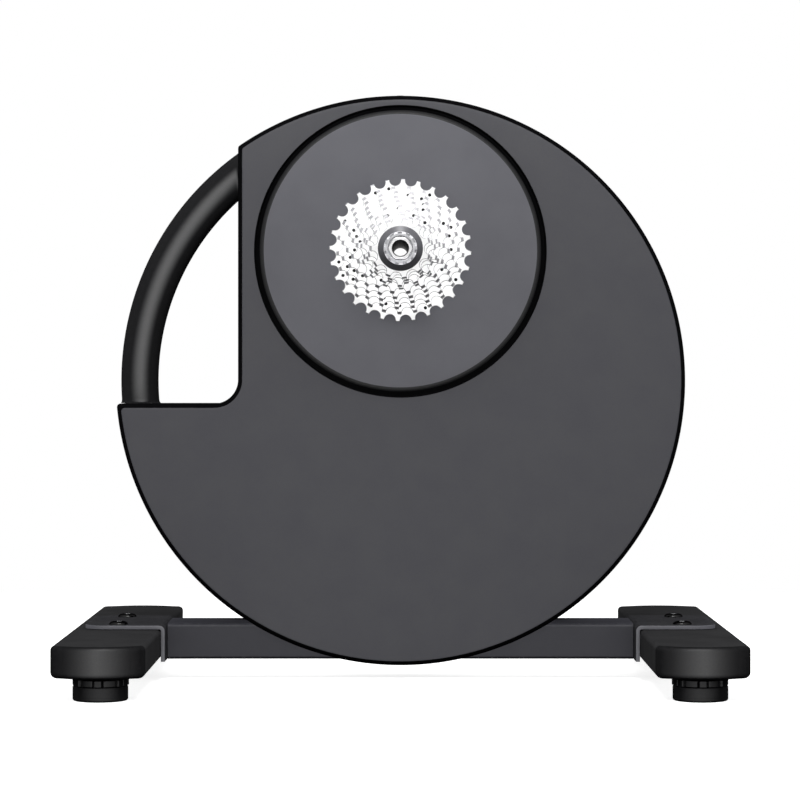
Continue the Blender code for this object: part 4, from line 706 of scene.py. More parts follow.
def housing_path(inset):
    """The round housing with its hand notch, drawn in by inset: two small arcs at the notch's tips, the
    large arc between them, the ledge, the inner corner and the upright wall. Every inset has the same
    number of points, so rows of different insets make a grid."""
    radius = HOUSING_RADIUS - inset
    edge, ledge = NOTCH_X + inset, LEDGE_Z - inset
    reach = radius - TIP_ROUND
    top_tip = (edge + TIP_ROUND, HOUSING_Z + math.sqrt(reach**2 - (edge + TIP_ROUND) ** 2))
    left_z = ledge - TIP_ROUND
    left_tip = (-math.sqrt(reach**2 - (left_z - HOUSING_Z) ** 2), left_z)
    top = math.degrees(math.atan2(top_tip[1] - HOUSING_Z, top_tip[0]))
    left = math.degrees(math.atan2(left_tip[1] - HOUSING_Z, left_tip[0])) % 360 - 360
    corner = (NOTCH_X - NOTCH_CORNER, LEDGE_Z + NOTCH_CORNER)
    cuts = arc_cuts(top, left)
    spans = zip(cuts, cuts[1:], ARC_COUNTS)
    return np.concatenate(
        [
            arc(top_tip, TIP_ROUND, 180, top, TIP_COUNT),
            *(arc((0, HOUSING_Z), radius, *span) for span in spans),
            arc(left_tip, TIP_ROUND, left + 360, 90, TIP_COUNT),
            line((left_tip[0], ledge), (corner[0], ledge), LEDGE_SHARES),
            arc(corner, NOTCH_CORNER + inset, -90, 0, CORNER_COUNT),
            line((edge, corner[1]), (edge, top_tip[1]), WALL_SHARES),
        ]
    )


def housing_openings():
    """For each point of the outline, how far its shell stays from the middle plane: a hair along the
    seam, half the beam's slot where the beam comes out, and half the opening's height round the handle.
    Also which points are on the strap under the beam."""
    first, slot_one, strap, slot_two, last = ARC_COUNTS
    counts = (TIP_COUNT + first, slot_one, strap, slot_two, last + TIP_COUNT)
    heights = (SEAM, SLOT_HALF, SEAM, SLOT_HALF, SEAM)
    seam = [np.full(count, height) for count, height in zip(counts, heights)]
    seam += [pass_heights(LEDGE_SHARES, *LEDGE), np.full(CORNER_COUNT, SEAM)]
    seam = np.concatenate([*seam, pass_heights(WALL_SHARES, *UPRIGHT)])
    start = sum(counts[:2])
    number = np.arange(len(seam))
    return seam, (number >= start) & (number < start + strap)


def shell_sides(side, edge_round, rim_share):
    """The shell's wall as a profile carried along the housing's outline: from the seam out to the rounded
    edge, level = depth - round + round sin(t) and inset = round (1 - cos(t)), and inside back to the
    seam. The patches are the side, the rim, which ends at rim_share of the rounded edge, the rest of
    that edge, and the inside. The side and the rim take darker copies of the face's finish: painted shade."""
    seam, strap = housing_openings()

    def rows(outlines, levels):
        """One row for each outline and the level of its points."""
        levels = [np.broadcast_to(level, seam.shape) for level in levels]
        return lift(np.array(outlines), side * np.array(levels))

    turn = np.linspace(0, np.pi / 2, ROUND_STEPS + 1)
    flat = HALF_DEPTH - edge_round
    insets = [0, 0, 0, *(edge_round * (1 - np.cos(turn))), edge_round + FACE_MARGIN]
    levels = [seam, SLOT_HALF, flat - FACE_MARGIN, *(flat + edge_round * np.sin(turn)), HALF_DEPTH]
    out = rows([housing_path(inset) for inset in insets], levels)
    inner = housing_path(WALL)
    over_strap = inner.copy()
    over_strap[strap, 1] = np.minimum(inner[strap, 1], SLOT_LOW)
    outlines = [inner, inner, over_strap, over_strap, housing_path(0)]
    back = rows(outlines, [HALF_DEPTH - WALL, SLOT_HALF, SLOT_HALF, seam, seam])
    rim_end = 3 + round(rim_share * ROUND_STEPS)
    return [sheet(out[:3], 2), sheet(out[2 : rim_end + 1], 1), sheet(out[rim_end:]), sheet(back)]


def make_shell(end, side, faces, holes_out, holes_in):
    """Joins a shell's wall, its own features and its two flat faces, which leave out the given holes."""
    values = setting("housing")
    patches = shell_sides(side, values.edge_round, values.rim_share) + faces
    outer = housing_path(values.edge_round + FACE_MARGIN)
    patches.append(filled([outer, *holes_out], side * HALF_DEPTH))
    patches.append(filled([housing_path(WALL), *holes_in], side * (HALF_DEPTH - WALL)))
    finishes = ["housing_plastic", "housing_rim", "housing_side"]
    make_piece(f"{end}_housing_shell", patches, finishes, "root", [f"{end}_shell"])


def make_front_shell():
    """Drive-side shell: rim, flat face, and the round recess that the lid sits in."""
    back = RECESS_FLOOR + WALL
    recess = rounded(
        [
            (RECESS_MOUTH, -HALF_DEPTH, 0), (RECESS_RADIUS, -HALF_DEPTH, 0.0005),
            (RECESS_RADIUS, RECESS_FLOOR, 0.0003), (HUB_HOLE, RECESS_FLOOR, 0.0004),
            (HUB_HOLE, back, 0.0003), (CUP_RADIUS, back, 0.0003), (CUP_RADIUS, WALL - HALF_DEPTH, 0),
        ]
    )
    sides, lip = 360, 4  # the recess's first rows are the face's lip, and the rest is near black: painted shade in the recess
    faces = [turned(recess[:lip], AXLE_AT, sides), turned(recess[lip - 1 :], AXLE_AT, sides, 1)]
    make_shell("front", -1, faces, [ring(AXLE_AT, RECESS_MOUTH, sides)], [ring(AXLE_AT, CUP_RADIUS, sides)])


def make_rear_shell():
    """Shell on the other side: screw wells, cooling slots behind the flywheel, and openings for the
    axle's cap and the power inlet. Each hole's edge is a quarter circle over its straight wall."""
    holes = [ring(AXLE_AT, CAP_HOLE, 64), ring(INLET_AT, INLET_HOLE, 48)]
    for i in range(VENTS):
        way = toward(math.radians(180 + 180 * (i + 0.5) / VENTS))
        ends = [np.array([0, FLYWHEEL_Z]) + reach * way for reach in VENT_REACH]
        holes.append(bar(*ends, VENT_WIDTH, 12))
    grow, drop = quarter(HOLE_EDGE, 5)
    grow = [HOLE_EDGE + 0.0003, *grow, 0]
    levels = [HALF_DEPTH, *(HALF_DEPTH - drop), HALF_DEPTH - WALL]
    faces, holes_out, holes_in = [], [], []
    for loop in holes:
        rows, wall = walled(loop, grow, levels)
        faces.append(wall)
        holes_out.append(rows[0])
        holes_in.append(rows[-1])
    well = rounded(
        [
            (WELL_MOUTH, HALF_DEPTH, 0), (COUNTERBORE, HALF_DEPTH, 0.0004),
            (COUNTERBORE, COUNTERBORE_FLOOR, 0.0003), (SCREW_HOLE, COUNTERBORE_FLOOR, 0),
            (SCREW_HOLE, BOSS_END, 0), (BOSS_RADIUS, BOSS_END, 0.0003), (BOSS_RADIUS, HALF_DEPTH - WALL, 0),
        ]
    )
    sides = 40
    for at in SHELL_SCREWS:
        faces.append(turned(well, at, sides))
        holes_out.append(ring(at, WELL_MOUTH, sides))
        holes_in.append(ring(at, BOSS_RADIUS, sides))
    make_shell("rear", 1, faces, holes_out, holes_in)


def make_shell_screws():
    """Pan-head screws at the bottom of their wells, each with a hexagon socket."""
    seat = COUNTERBORE_FLOOR + 0.0003
    top = COUNTERBORE_FLOOR + 0.0033
    bed = top - 0.0017  # of the socket
    tip = -0.015
    socket, head, shank = 0.0012, 0.0038, 0.0016
    profile = rounded(
        [
            (0, bed, 0), (socket, bed, 0), (socket, top, 0.0002), (head, top, 0.0012),
            (head, seat, 0.0002), (shank, seat, 0), (shank, tip, 0.0005), (0, tip, 0),
        ]
    )
    for number, at in enumerate(SHELL_SCREWS, 1):
        name = f"shell_screw_{number}"
        patches = [turned(profile, at, 48, shape=socket_shape(socket + 0.0002))]
        make_piece(name + "_turned", patches, ["black_screw"], "root", [name])


def socket_shape(limit):
    """Inside limit the radius follows a hexagon: radius / cos(angle from the middle of its side)."""

    def shape(radius, level, angle):
        off = np.mod(angle, np.pi / 3) - np.pi / 6
        return np.where(radius < limit, radius / np.cos(off) * 0.97, radius + 0 * angle), level

    return shape


def make_disc_cover():
    """Lid over the drive pulley: a flat face with a rolled edge, turned about the axle. Its foot is
    raised by the notch's height where the angle is within either pry notch."""
    values = setting("cover")
    low, high = (math.radians(span) for span in PRY_SPAN)
    down = -np.pi / 2
    cuts = [down - high, down - low, down + low, down + high, down - high + 2 * np.pi]
    counts = (16, 60, 16, 480)
    angles = np.concatenate([np.linspace(*ends, n) for *ends, n in zip(cuts, cuts[1:], counts)])
    notched = np.repeat([1.0, 0.0, 1.0, 0.0], counts)[None]
    edge = values.edge_round

    def shape(radius, level, angle):
        foot = level > COVER_BASE - MERGE / 2  # the foot's two rows only
        return radius + 0 * angle, np.where(foot, level - PRY_HEIGHT * notched, level)

    back = COVER_FACE + COVER_WALL
    flat_end = COVER_RADIUS - edge - 0.0006
    face = rounded([(COVER_HOLE, back, 0), (COVER_HOLE, COVER_FACE, 0.0005), (0.11, COVER_FACE, 0)])
    turn = np.linspace(0, np.pi / 2, ROLL_STEPS + 1)
    roll_at = np.array([COVER_RADIUS - edge, COVER_FACE + edge])
    roll = roll_at + edge * np.stack([np.sin(turn), -np.cos(turn)], -1)
    start = round(values.edge_share * ROLL_STEPS)
    inner, notch = COVER_RADIUS - COVER_WALL, COVER_BASE - PRY_HEIGHT
    side = [
        (COVER_RADIUS, notch - 0.0006), (COVER_RADIUS, notch), (COVER_RADIUS, COVER_BASE),
        (inner, COVER_BASE), (inner, notch), (inner, COVER_FACE + edge),
        (COVER_RADIUS - edge, back), (COVER_HOLE, back),
    ]
    top = np.concatenate([face, [(flat_end, COVER_FACE)], roll[: start + 1]])
    rest = np.concatenate([roll[start:], side])
    lathe = partial(turned, centre=AXLE_AT, shape=shape, angles=angles)
    # The rolled edge past its first sliver, and the lid's side, take the near-black edge finish: painted
    # shade
    patches = [lathe(top), lathe(rest, finish=1)]
    make_piece("disc_cover_lid", patches, ["cover_plastic", "cover_edge"], "root", ["disc_cover"])


def make_status_light():
    """Light guide in the rim: a low dome on a stem with a flange under the wall."""
    top, seat, foot = 0.490, 0.4852, 0.4844
    stem, flange = 0.00375, 0.0048
    profile = rounded(
        [
            (0, top, 0), (stem, top - 0.0001, 0.0010), (stem, seat, 0),
            (flange, seat, 0.0002), (flange, foot, 0.0002), (0, foot, 0),
        ]
    )
    patches = [turned(profile, (0, LENS_Y), 64, axis="Z")]
    make_piece("status_light_dome", patches, ["light_lens"], "root", ["status_light"])


def make_inlet():
    """Round socket for the mains adapter, with its pin, in a flange on the housing."""
    pin_top, bed, mouth, seat, foot = 0.0388, 0.0300, 0.0418, 0.0403, 0.0220
    bore, flange, body = 0.0030, 0.0095, 0.0062
    profile = rounded(
        [
            (0, pin_top, 0), (0.0008, pin_top, 0.0003), (0.0010, bed, 0), (bore, bed, 0),
            (bore, mouth, 0.0004), (flange, mouth, 0.0005), (flange, seat, 0.0002),
            (body, seat, 0), (body, foot, 0.0003), (0, foot, 0),
        ]
    )
    patches = [turned(profile, INLET_AT, 64)]
    make_piece("power_inlet_socket", patches, ["inlet_plastic"], "root", ["power_inlet"])


# Handle


def make_grip():
    """Rubber sleeve on the handle's arc. Round the sleeve by angle t, a point stands at radius
    handle + sleeve cos(t) from the housing's middle and at depth sleeve sin(t), and it swings from the
    angle where that radius meets the upright wall to the one where it meets the ledge. The sleeve
    swells to a small flare within flare_length of both ends."""
    values = setting("handle")
    around = np.linspace(0, 2 * np.pi, 97)[:-1][None]
    along = (1 - np.cos(np.linspace(0, np.pi, 121))) / 2
    length = GRIP_ARC * math.radians(GRIP_TURN)
    to_end = np.minimum(along, 1 - along)[:, None] * length
    close = np.clip(1 - to_end / values.flare_length, 0, 1)
    flare = values.flare * (1 - np.sqrt(1 - close**2))

    def tube(sleeve):
        radius = GRIP_ARC + sleeve * np.cos(around)
        top = np.arccos(np.clip((NOTCH_X - GRIP_SINK) / radius, -1, 1))
        bottom = np.pi + np.arcsin((HOUSING_Z - LEDGE_Z - GRIP_SINK) / radius)
        angle = top + (bottom - top) * along[:, None]
        return lift((0, HOUSING_Z) + radius[..., None] * toward(angle), -sleeve * np.sin(around))

    rows = np.concatenate([tube(GRIP_RADIUS + flare), tube(np.full_like(flare, GRIP_BORE))[::-1]])
    patches = [sheet(rows, close_rows=True)]
    make_piece("handle_sleeve", patches, ["grip_rubber"], "root", ["handle_grip"], sharp=40)


# Base


def make_beam():
    """Rectangular tube: a rounded rectangle drawn along the beam outside, and a smaller one back inside."""
    half_z = (BEAM_HIGH - BEAM_LOW) / 2
    middle = (BEAM_HIGH + BEAM_LOW) / 2

    def section(inset, corner):
        across, up = BEAM_SIDE - inset, half_z - inset
        spots = ((-across, -up), (across, -up), (across, up), (-across, up))
        return rounded([(*spot, corner) for spot in spots], 8, 0.0005, True) + (0, middle)

    inside, outside = section(BEAM_CORNER, 0.0015), section(0, BEAM_CORNER)
    chamfered = section(BEAM_CHAMFER, 0.0029)
    straight = BEAM_HALF - BEAM_CHAMFER
    half = [(inside, BEAM_HALF), (chamfered, BEAM_HALF), (outside, straight), (outside, straight - 0.001)]
    rows = [(loop, -x) for loop, x in half] + half[::-1]
    points = np.stack([lift(loop, x, "X") for loop, x in rows])
    patches = [sheet(points, close_rows=True)]
    make_piece("cross_beam_tube", patches, ["painted_steel"], "root", ["cross_beam"])


def make_bracket(name, sign):
    """Bent plate. Its section is a thin rounded rectangle, 2 by half-width across and one plate thick,
    carried up the beam's end, round the bend and out over the leg. The half-width follows a quarter
    circle at the two outer corners. The section's two narrow sides have a lighter edge finish: a painted
    highlight."""
    bend_at = np.array([PLATE_X + BEND, BEAM_HIGH - BEND])
    up = line((PLATE_X, BEAM_LOW), (PLATE_X, bend_at[1]), np.linspace(0, 1, 6))
    bend = arc(bend_at, BEND, 180, 90, 12)[1:-1]
    share = 1 - 0.27 * (1 - np.sin(np.linspace(0, np.pi / 2, 28)))
    share = np.concatenate([np.linspace(0, 0.73, 8), share])
    out = line((bend_at[0], BEAM_HIGH), (PLATE_END, BEAM_HIGH), share)
    path = np.concatenate([up, bend, out])
    inward = [np.tile([1.0, 0.0], (len(up), 1)), unit(bend_at - bend), np.tile([0.0, -1.0], (len(out), 1))]
    inward = np.concatenate(inward)
    past = np.maximum(path[:, 0] - (PLATE_END - PLATE_CORNER), 0)
    half = PLATE_SIDE - PLATE_CORNER + np.sqrt(np.maximum(PLATE_CORNER**2 - past**2, 0))
    count = 7
    pull, drop = quarter(setting("base").plate_edge, count)
    drop = np.concatenate([drop, PLATE - drop[::-1], PLATE - drop, drop[::-1]])
    pull = np.concatenate([pull, pull[::-1], pull, pull[::-1]])
    points_y = np.repeat([1, 1, -1, -1], count) * (half[:, None] - pull)
    points_xz = path[:, None] + inward[:, None] * drop[None, :, None]
    points = np.stack([sign * points_xz[..., 0], points_y, points_xz[..., 1]], -1)
    # Both ends close on the middle of the plate's thickness
    first, last = points[0].copy(), points[-1].copy()
    first[:, 0] = sign * (path[0] + inward[0] * PLATE / 2)[0]
    last[:, 2] = (path[-1] + inward[-1] * PLATE / 2)[1]
    points = np.concatenate([first[None], points, last[None]])
    # The narrow sides take the lighter edge finish: a painted highlight
    numbers = np.repeat([1, 0, 1, 0], (2 * count - 1, 1, 2 * count - 1, 1))
    patches = [sheet(points, np.tile(numbers, len(points) - 1))]
    finishes = ["plate_steel", "sheared_edge"]
    make_piece(f"bracket_{name}_plate", patches, finishes, "root", [f"bracket_{name}"])


def make_bracket_screws():
    """Button-head screws: a low dome turned about its own axis, with a hexagon socket in it. The dome
    has radius = flat + width cos(t) and height = seat + rise sin(t)."""
    seat, top, foot = 0.0473, 0.0499, 0.0295
    turn = np.radians(np.linspace(90, 0, 16))
    dome = np.stack([0.0036 + 0.0042 * np.cos(turn), seat + 0.0003 + 0.0023 * np.sin(turn)], -1)
    socket = [(0, top - 0.0012), (0.0024, top - 0.0012), (0.0029, top - 0.0002)]
    shank = [(0.0078, seat), (0.0040, seat), (0.0040, foot + 0.0005), (0.0035, foot), (0, foot)]
    outside = np.concatenate([[socket[-1], (0.0031, top)], dome, shank])
    for end, x in (("front", LEG_X), ("rear", -LEG_X)):
        for side, y in (("right", -SCREW_Y), ("left", SCREW_Y)):
            lathe = partial(turned, centre=(x, y), sides=72, axis="Z", shape=socket_shape(0.003))
            # The socket takes a pale finish: a painted highlight
            patches = [lathe(outside), lathe(socket, finish=1)]
            name = f"bracket_screw_{end}_{side}"
            make_piece(name + "_turned", patches, ["black_screw", "rubbed_socket"], "root", [name])


def leg_path(inset):
    """A leg from above, drawn in by inset: straight sides, round corners and bowed ends."""
    half = LEG_WIDTH / 2 - LEG_CORNER
    side = LEG_LENGTH / 2 - LEG_BOW - LEG_CORNER
    radius = (half**2 + LEG_BOW**2) / (2 * LEG_BOW)
    lean = math.degrees(math.asin(half / radius))
    middle = LEG_LENGTH / 2 - radius
    corner = LEG_CORNER - inset
    one = arc((half, side), corner, 0, 90 - lean, 14)
    bow = arc((0, middle), radius - inset, 90 - lean, 90 + lean, 40)
    other = arc((-half, side), corner, 90 + lean, 180, 14)
    end = np.concatenate([one, bow[1:-1], other])
    return np.concatenate([end, -end])


def make_leg(name, sign):
    """Cast leg: a rounded profile carried round its outline, with six pockets underneath. Each (inset,
    level) of the profile is one row, the outline drawn in by inset and set at level. The bowed ends have
    their own finish, a darker copy of the leg's with painted shade and a painted highlight in the middle,
    so only the two columns along the straight sides have the first one."""
    values = setting("base")
    top, foot = values.leg_edge, values.leg_foot
    low_in, low_up = quarter(foot, 10)
    high_down, high_in = quarter(top, 10)
    low = np.stack([low_in, LEG_LOW + low_up], -1)
    high = np.stack([high_in, LEG_HIGH - high_down], -1)
    straight = [(0, LEG_LOW + foot + LEG_MARGIN), (0, LEG_HIGH - top - LEG_MARGIN)]
    start, end = [(foot + LEG_MARGIN, LEG_LOW)], [(top + LEG_MARGIN, LEG_HIGH)]
    profile = np.concatenate([start, low, straight, high, end])
    centre = np.array([sign * (LEG_X + LEG_OUT), 0])
    rows = np.stack([leg_path(inset) + centre for inset in profile[:, 0]])
    columns = rows.shape[1]
    numbers = np.ones(columns, int)
    numbers[[columns // 2 - 1, columns - 1]] = 0
    patches = [sheet(lift(rows, profile[:, 1:], "Z"), np.tile(numbers, len(profile) - 1))]
    holes = []
    grow = [0.0008, 0.0003, 0, -0.0006, -0.0012]
    levels = [LEG_LOW, LEG_LOW + 0.0003, LEG_LOW + 0.001, POCKET_ROOF - 0.0007, POCKET_ROOF]
    for low_y, high_y in POCKETS_ALONG:
        for near, far in POCKETS_ACROSS:
            spots = ((near, low_y), (far, low_y), (far, high_y), (near, high_y))
            loop = rounded([(*spot, 0.003) for spot in spots], 6, 0.0004, True) + centre
            pocket, wall = walled(loop, grow, levels, "Z")
            patches += [wall, filled([pocket[-1]], POCKET_ROOF, "Z")]
            holes.append(pocket[0])
    patches.append(filled([rows[0], *holes], LEG_LOW, "Z"))
    patches.append(filled([rows[-1]], LEG_HIGH, "Z"))
    make_piece(f"leg_{name}_cast", patches, ["cast_leg", "leg_end"], "root", [f"leg_{name}"])


def make_pad(name, at):
    """A round rubber pad, hollow round the stud's end and a hair raised inside its rim."""
    rim, inner, top, floor = 0.0218, 0.0165, 0.0115, 0.0058
    profile = rounded(
        [
            (0, 0.0004, 0), (inner, 0.0004, 0.0002), (inner + 0.0005, 0, 0.0002), (rim, 0, 0.0018),
            (rim, top, 0.0008), (0.0066, top, 0.0003), (0.0064, floor, 0.0003), (0, floor, 0),
        ]
    )
    patches = [turned(profile, at, axis="Z")]
    make_piece(f"foot_{name}_rubber", patches, ["foot_rubber"], f"foot_{name}_pad", [f"foot_{name}_pad"])


def make_thumbwheel(name, at):
    """A ribbed thumbwheel on a stud. At its rim the radius grows by a smooth step on each rib and falls
    by a bell curve in the grooves beside it. The stud's thread is a ridge that climbs one pitch each
    turn: radius = stud - depth times the distance from the ridge."""
    ball, base = 0.0060, 0.0118
    wheel = rounded(
        [
            (ball, 0.0063, 0), (ball, 0.0110, 0), (ball, base, 0), (WHEEL_RADIUS, base, 0.0007),
            (WHEEL_RADIUS, WHEEL_TOP, 0.0007), (STUD_RADIUS, WHEEL_TOP, 0),
        ]
    )
    wheel = np.concatenate([[(0, 0.0063), (0.0055, 0.0063), (ball, 0.0068)], wheel[1:]])
    pitch = 2 * np.pi / setting("base").ribs

    def shape(radius, level, angle):
        off = np.abs(np.mod(angle + np.pi / 2 + pitch / 2, pitch) - pitch / 2) * WHEEL_RADIUS
        off = off - RIB_WIDTH / 2
        groove = np.exp(-(((off - 0.0008) / 0.0006) ** 2))
        rib = 1 / (1 + np.exp(off / 0.00018))
        at_rim = np.clip((radius - 0.019) / 0.002, 0, 1)
        return radius + at_rim * (0.0009 * rib - 0.0011 * groove), level

    lathe = partial(turned, centre=at, sides=WHEEL_SIDES, axis="Z")
    heights = np.arange(WHEEL_TOP, STUD_END, THREAD_PITCH / 6)[:, None]
    angle = np.linspace(0, 2 * np.pi, WHEEL_SIDES, endpoint=False)[None]
    phase = np.mod(heights / THREAD_PITCH - angle / (2 * np.pi), 1)
    depth = THREAD_DEPTH * np.clip((heights - WHEEL_TOP) / 0.0005, 0, 1)
    radius = STUD_RADIUS - np.abs(2 * phase - 1) * depth
    stud = lift(np.asarray(at) + radius[..., None] * toward(angle), heights, "Z")
    tip = lathe([(0.0042, STUD_END + 0.0005), (0.0036, STUD_END + 0.0009), (0, STUD_END + 0.0009)])
    joint = np.stack([stud[-1], tip[0][:WHEEL_SIDES]])
    patches = [lathe(wheel, shape=shape), sheet(stud), sheet(joint), tip]
    whole = f"foot_{name}_thumbwheel"
    make_piece(whole + "_turned", patches, ["thumbwheel_steel"], f"foot_{name}_wheel", [whole])


# Cassette


def pitch_circle(teeth):
    """Radius through the middles of the chain's pins: pitch / 2 / sin(half a tooth's angle)."""
    return CHAIN_PITCH / 2 / math.sin(math.pi / teeth)


def tooth_loop(teeth, turn):
    """Outline of a cog: at each gap an arc each way about a point on the gap's middle line, carried on
    straight to the tip circle at both ends. It is repeated by turning, and the tips between the gaps are
    straight with a small round at each corner."""
    values = setting("cassette")
    pitch = 2 * math.pi / teeth
    tip = pitch_circle(teeth) + TOOTH_PROUD
    gap = values.gap_radius
    middle = pitch_circle(teeth) - values.gap_depth + gap
    end = math.radians(GAP_TURN)
    seat = np.linspace(end, -end, 15)
    corner = np.zeros(17)
    corner[[0, -1]] = values.tooth_corner
    angle = (np.arange(teeth)[:, None] - 0.5) * pitch + math.radians(turn)
    at_tip = gap * math.sin(end) + (tip - middle + gap * math.cos(end)) / math.tan(end)
    radius = np.concatenate([[tip], middle - gap * np.cos(seat), [tip]])
    off = np.concatenate([[-at_tip], -gap * np.sin(seat), [at_tip]])
    across = radius * np.cos(angle) - off * np.sin(angle)
    up = radius * np.sin(angle) + off * np.cos(angle)
    corners = np.stack([across, up, np.broadcast_to(corner, across.shape)], -1).reshape(-1, 3)
    return rounded(corners, 4, 0, True)


def spline_loop():
    """The freehub's splines as a bore, with a running gap: root and tip circles, joined where each
    spline's side stands half its width from its middle line."""
    radius = np.tile([SPLINE_ROOT, SPLINE_TIP, SPLINE_TIP, SPLINE_ROOT], SPLINES)
    side = np.tile([-1, -1, 1, 1], SPLINES)
    middle = np.repeat(2 * np.pi * np.arange(SPLINES) / SPLINES, 4)
    angle = middle + side * np.arcsin((SPLINE_HALF + SPLINE_GAP) / radius)
    return radius[:, None] * toward(angle)


def cog_rows(teeth, turn, slope):
    """Rows from a cog's front face over its teeth to its back face, and their depths. The teeth are
    chamfered and their tips slope: the outline is held within radius tip - slope (1 - depth / tip_depth)
    at each depth."""
    bevel = setting("cassette").tooth_bevel
    loop = tooth_loop(teeth, turn) + AXLE_AT
    loop = loop[np.linalg.norm(np.roll(loop, -1, 0) - loop, axis=-1) > MERGE]
    face = bevel + 0.0002
    inset = np.array([face, bevel, 0, 0, 0, bevel, face])
    back = COG_PLATE - bevel * 0.5
    depth = np.array([-0.0001, 0, bevel * 0.8, TIP_DEPTH, back, COG_PLATE, COG_PLATE])
    rows = loop - outward(loop) * inset[:, None, None] - AXLE_AT
    tip = pitch_circle(teeth) + TOOTH_PROUD
    limit = tip - slope * np.maximum(1 - depth / TIP_DEPTH, 0)
    rows = rows * np.minimum(limit[:, None] / np.linalg.norm(rows, axis=-1), 1)[..., None] + AXLE_AT
    return rows, np.maximum(depth, 0)


def make_cogs():
    """Eleven stamped cogs. Each is a flat plate between its tooth outline and its splined bore, with
    small holes at the foot of some teeth, and a collar towards the next one."""
    bore = spline_loop() + AXLE_AT
    wide = (bore - AXLE_AT) * 1.03 + AXLE_AT
    for i, teeth in enumerate(TEETH):
        slope = setting("cassette").tip_slope * (0.3 if teeth == TEETH[0] else 0.7 if teeth < 16 else 1)
        rows, depth = cog_rows(teeth, TURNED[i], slope)
        level = FIRST_COG - i * COG_PITCH
        front, back = level - COG_PLATE / 2, level + COG_PLATE / 2
        # The teeth's chamfers, sloped tips and sides take the darker edge finish: painted shade
        teeth_finish = np.repeat([0, 1, 1, 1, 0, 0], rows.shape[1])
        bores = lift(np.stack([bore, bore, wide]), np.array([[front], [back], [back]]))
        patches = [sheet(lift(rows, (front + depth)[:, None]), teeth_finish), sheet(bores)]
        holes = []
        bed = front + PIN_DEPTH
        pin = [(PIN_MOUTH, front), (PIN_RADIUS, front + 0.0001), (PIN_RADIUS, bed), (0, bed)]
        for number in PIN_HOLES.get(teeth, ()):
            angle = math.radians(TURNED[i]) + 2 * math.pi * number / teeth
            at = AXLE_AT + (pitch_circle(teeth) - HOLE_DROP) * toward(angle)
            # Each small hole takes the near-black bore finish: painted shade
            patches.append(turned(pin, at, 20, 2))
            holes.append(ring(at, PIN_MOUTH, 20))
        inside = bore
        if teeth != TEETH[-1]:
            end = level - COG_PITCH + COG_PLATE / 2 + 0.0003
            collar = [
                (COLLAR_RADIUS, front, 0), (COLLAR_RADIUS, end, 0.0003),
                (COLLAR_BORE, end, 0.0002), (COLLAR_BORE, front, 0),
            ]
            inside = ring(AXLE_AT, COLLAR_RADIUS, 96)
            # The collar takes the darker edge finish: painted shade between the cogs
            patches.append(turned(rounded(collar), AXLE_AT, finish=1))
            patches.append(filled([ring(AXLE_AT, COLLAR_BORE, 96), bore], front))
        patches += [filled([rows[0], inside, *holes], front), filled([rows[-1], wide], back)]
        finishes = ["cassette_steel", "cassette_edge", "axle_steel"]
        make_piece(f"cog_{teeth}_stamped", patches, finishes, "freehub", [f"cog_{teeth}"], sharp=25)


def make_lockring():
    """Ring that holds the cogs: a cone turned about the axle, with a flat ring inside it. At the step
    between them the radius and the level step away at each of the notches for the tool. The bore is
    painted dark, as shade."""
    seat, face = -0.0890, -0.0971
    cone = line((0.0185, -0.0947), (0.0137, -0.0980), np.linspace(0, 1, 8))
    outside = [(0.0125, seat), (0.0140, seat), (0.0140, -0.0944), (0.0184, -0.0944), *cone]
    flat = [
        cone[-1], (0.0134, -0.0981), (0.0132, -0.0979), (0.0131, -0.0973),
        (0.0127, face), (0.0120, face), (0.0106, face), (0.0104, face + 0.0002),
    ]
    bore = [flat[-1], (0.0103, -0.0955), (0.0125, -0.0950), (0.0125, seat)]
    notches = setting("cassette").notches

    def shape(radius, level, angle):
        wave = 0.5 + 0.5 * np.tanh(5 * (np.cos((angle - math.radians(17)) * notches) - 0.3))
        at_step = (radius > 0.0125) & (radius < 0.01335) & (level < -0.0965)
        return radius + np.where(at_step, 0.0009 * wave, 0), level + np.where(at_step, 0.0015 * wave, 0)

    lathe = partial(turned, centre=AXLE_AT, sides=576, shape=shape)
    patches = [lathe(outside), lathe(bore, finish=1), lathe(flat, finish=2)]
    finishes = ["lockring_alloy", "axle_steel", "lockring_face"]
    make_piece("lockring_turned", patches, finishes, "freehub", ["lockring"])


def make_axle_caps():
    """Caps on both ends of the axle: tubes whose mouths are chamfered, bright outside and painted dark
    inside, as shade. The drive side's cap is faintly six-sided outside: radius + six_sides cos(6 angle)."""
    mouth, seat, bore = 0.0069, 0.0078, 0.0062
    for end, front, back, step, outer, side in (
        ("drive", -0.0985, -0.0888, -0.0925, 0.0092, setting("cassette").six_sides),
        ("rear", 0.0435, 0.0303, 0.0343, 0.0105, 0.0),
    ):
        way = 1 if front > 0 else -1
        edge = front - way * 0.0004
        bright = [(mouth, edge, 0), (0.0073, front, 0.0002), (outer, front, 0.0006), (outer, back, 0)]
        dark = [
            (outer, back, 0), (seat, back, 0.0002), (seat, step, 0), (bore, step, 0.0002),
            (bore, front - way * 0.0020, 0.0002), (mouth, edge, 0),
        ]

        def shape(radius, level, angle):
            share = np.clip((radius - 0.0084) / 0.0008, 0, 1)
            return radius + share * side * np.cos(6 * angle), level

        lathe = partial(turned, centre=AXLE_AT, sides=144, shape=shape)
        patches = [lathe(rounded(bright)), lathe(rounded(dark), finish=1)]
        finishes = ["cap_alloy", "axle_steel"]
        make_piece(f"axle_cap_{end}_turned", patches, finishes, "root", [f"axle_cap_{end}"])


# Stage

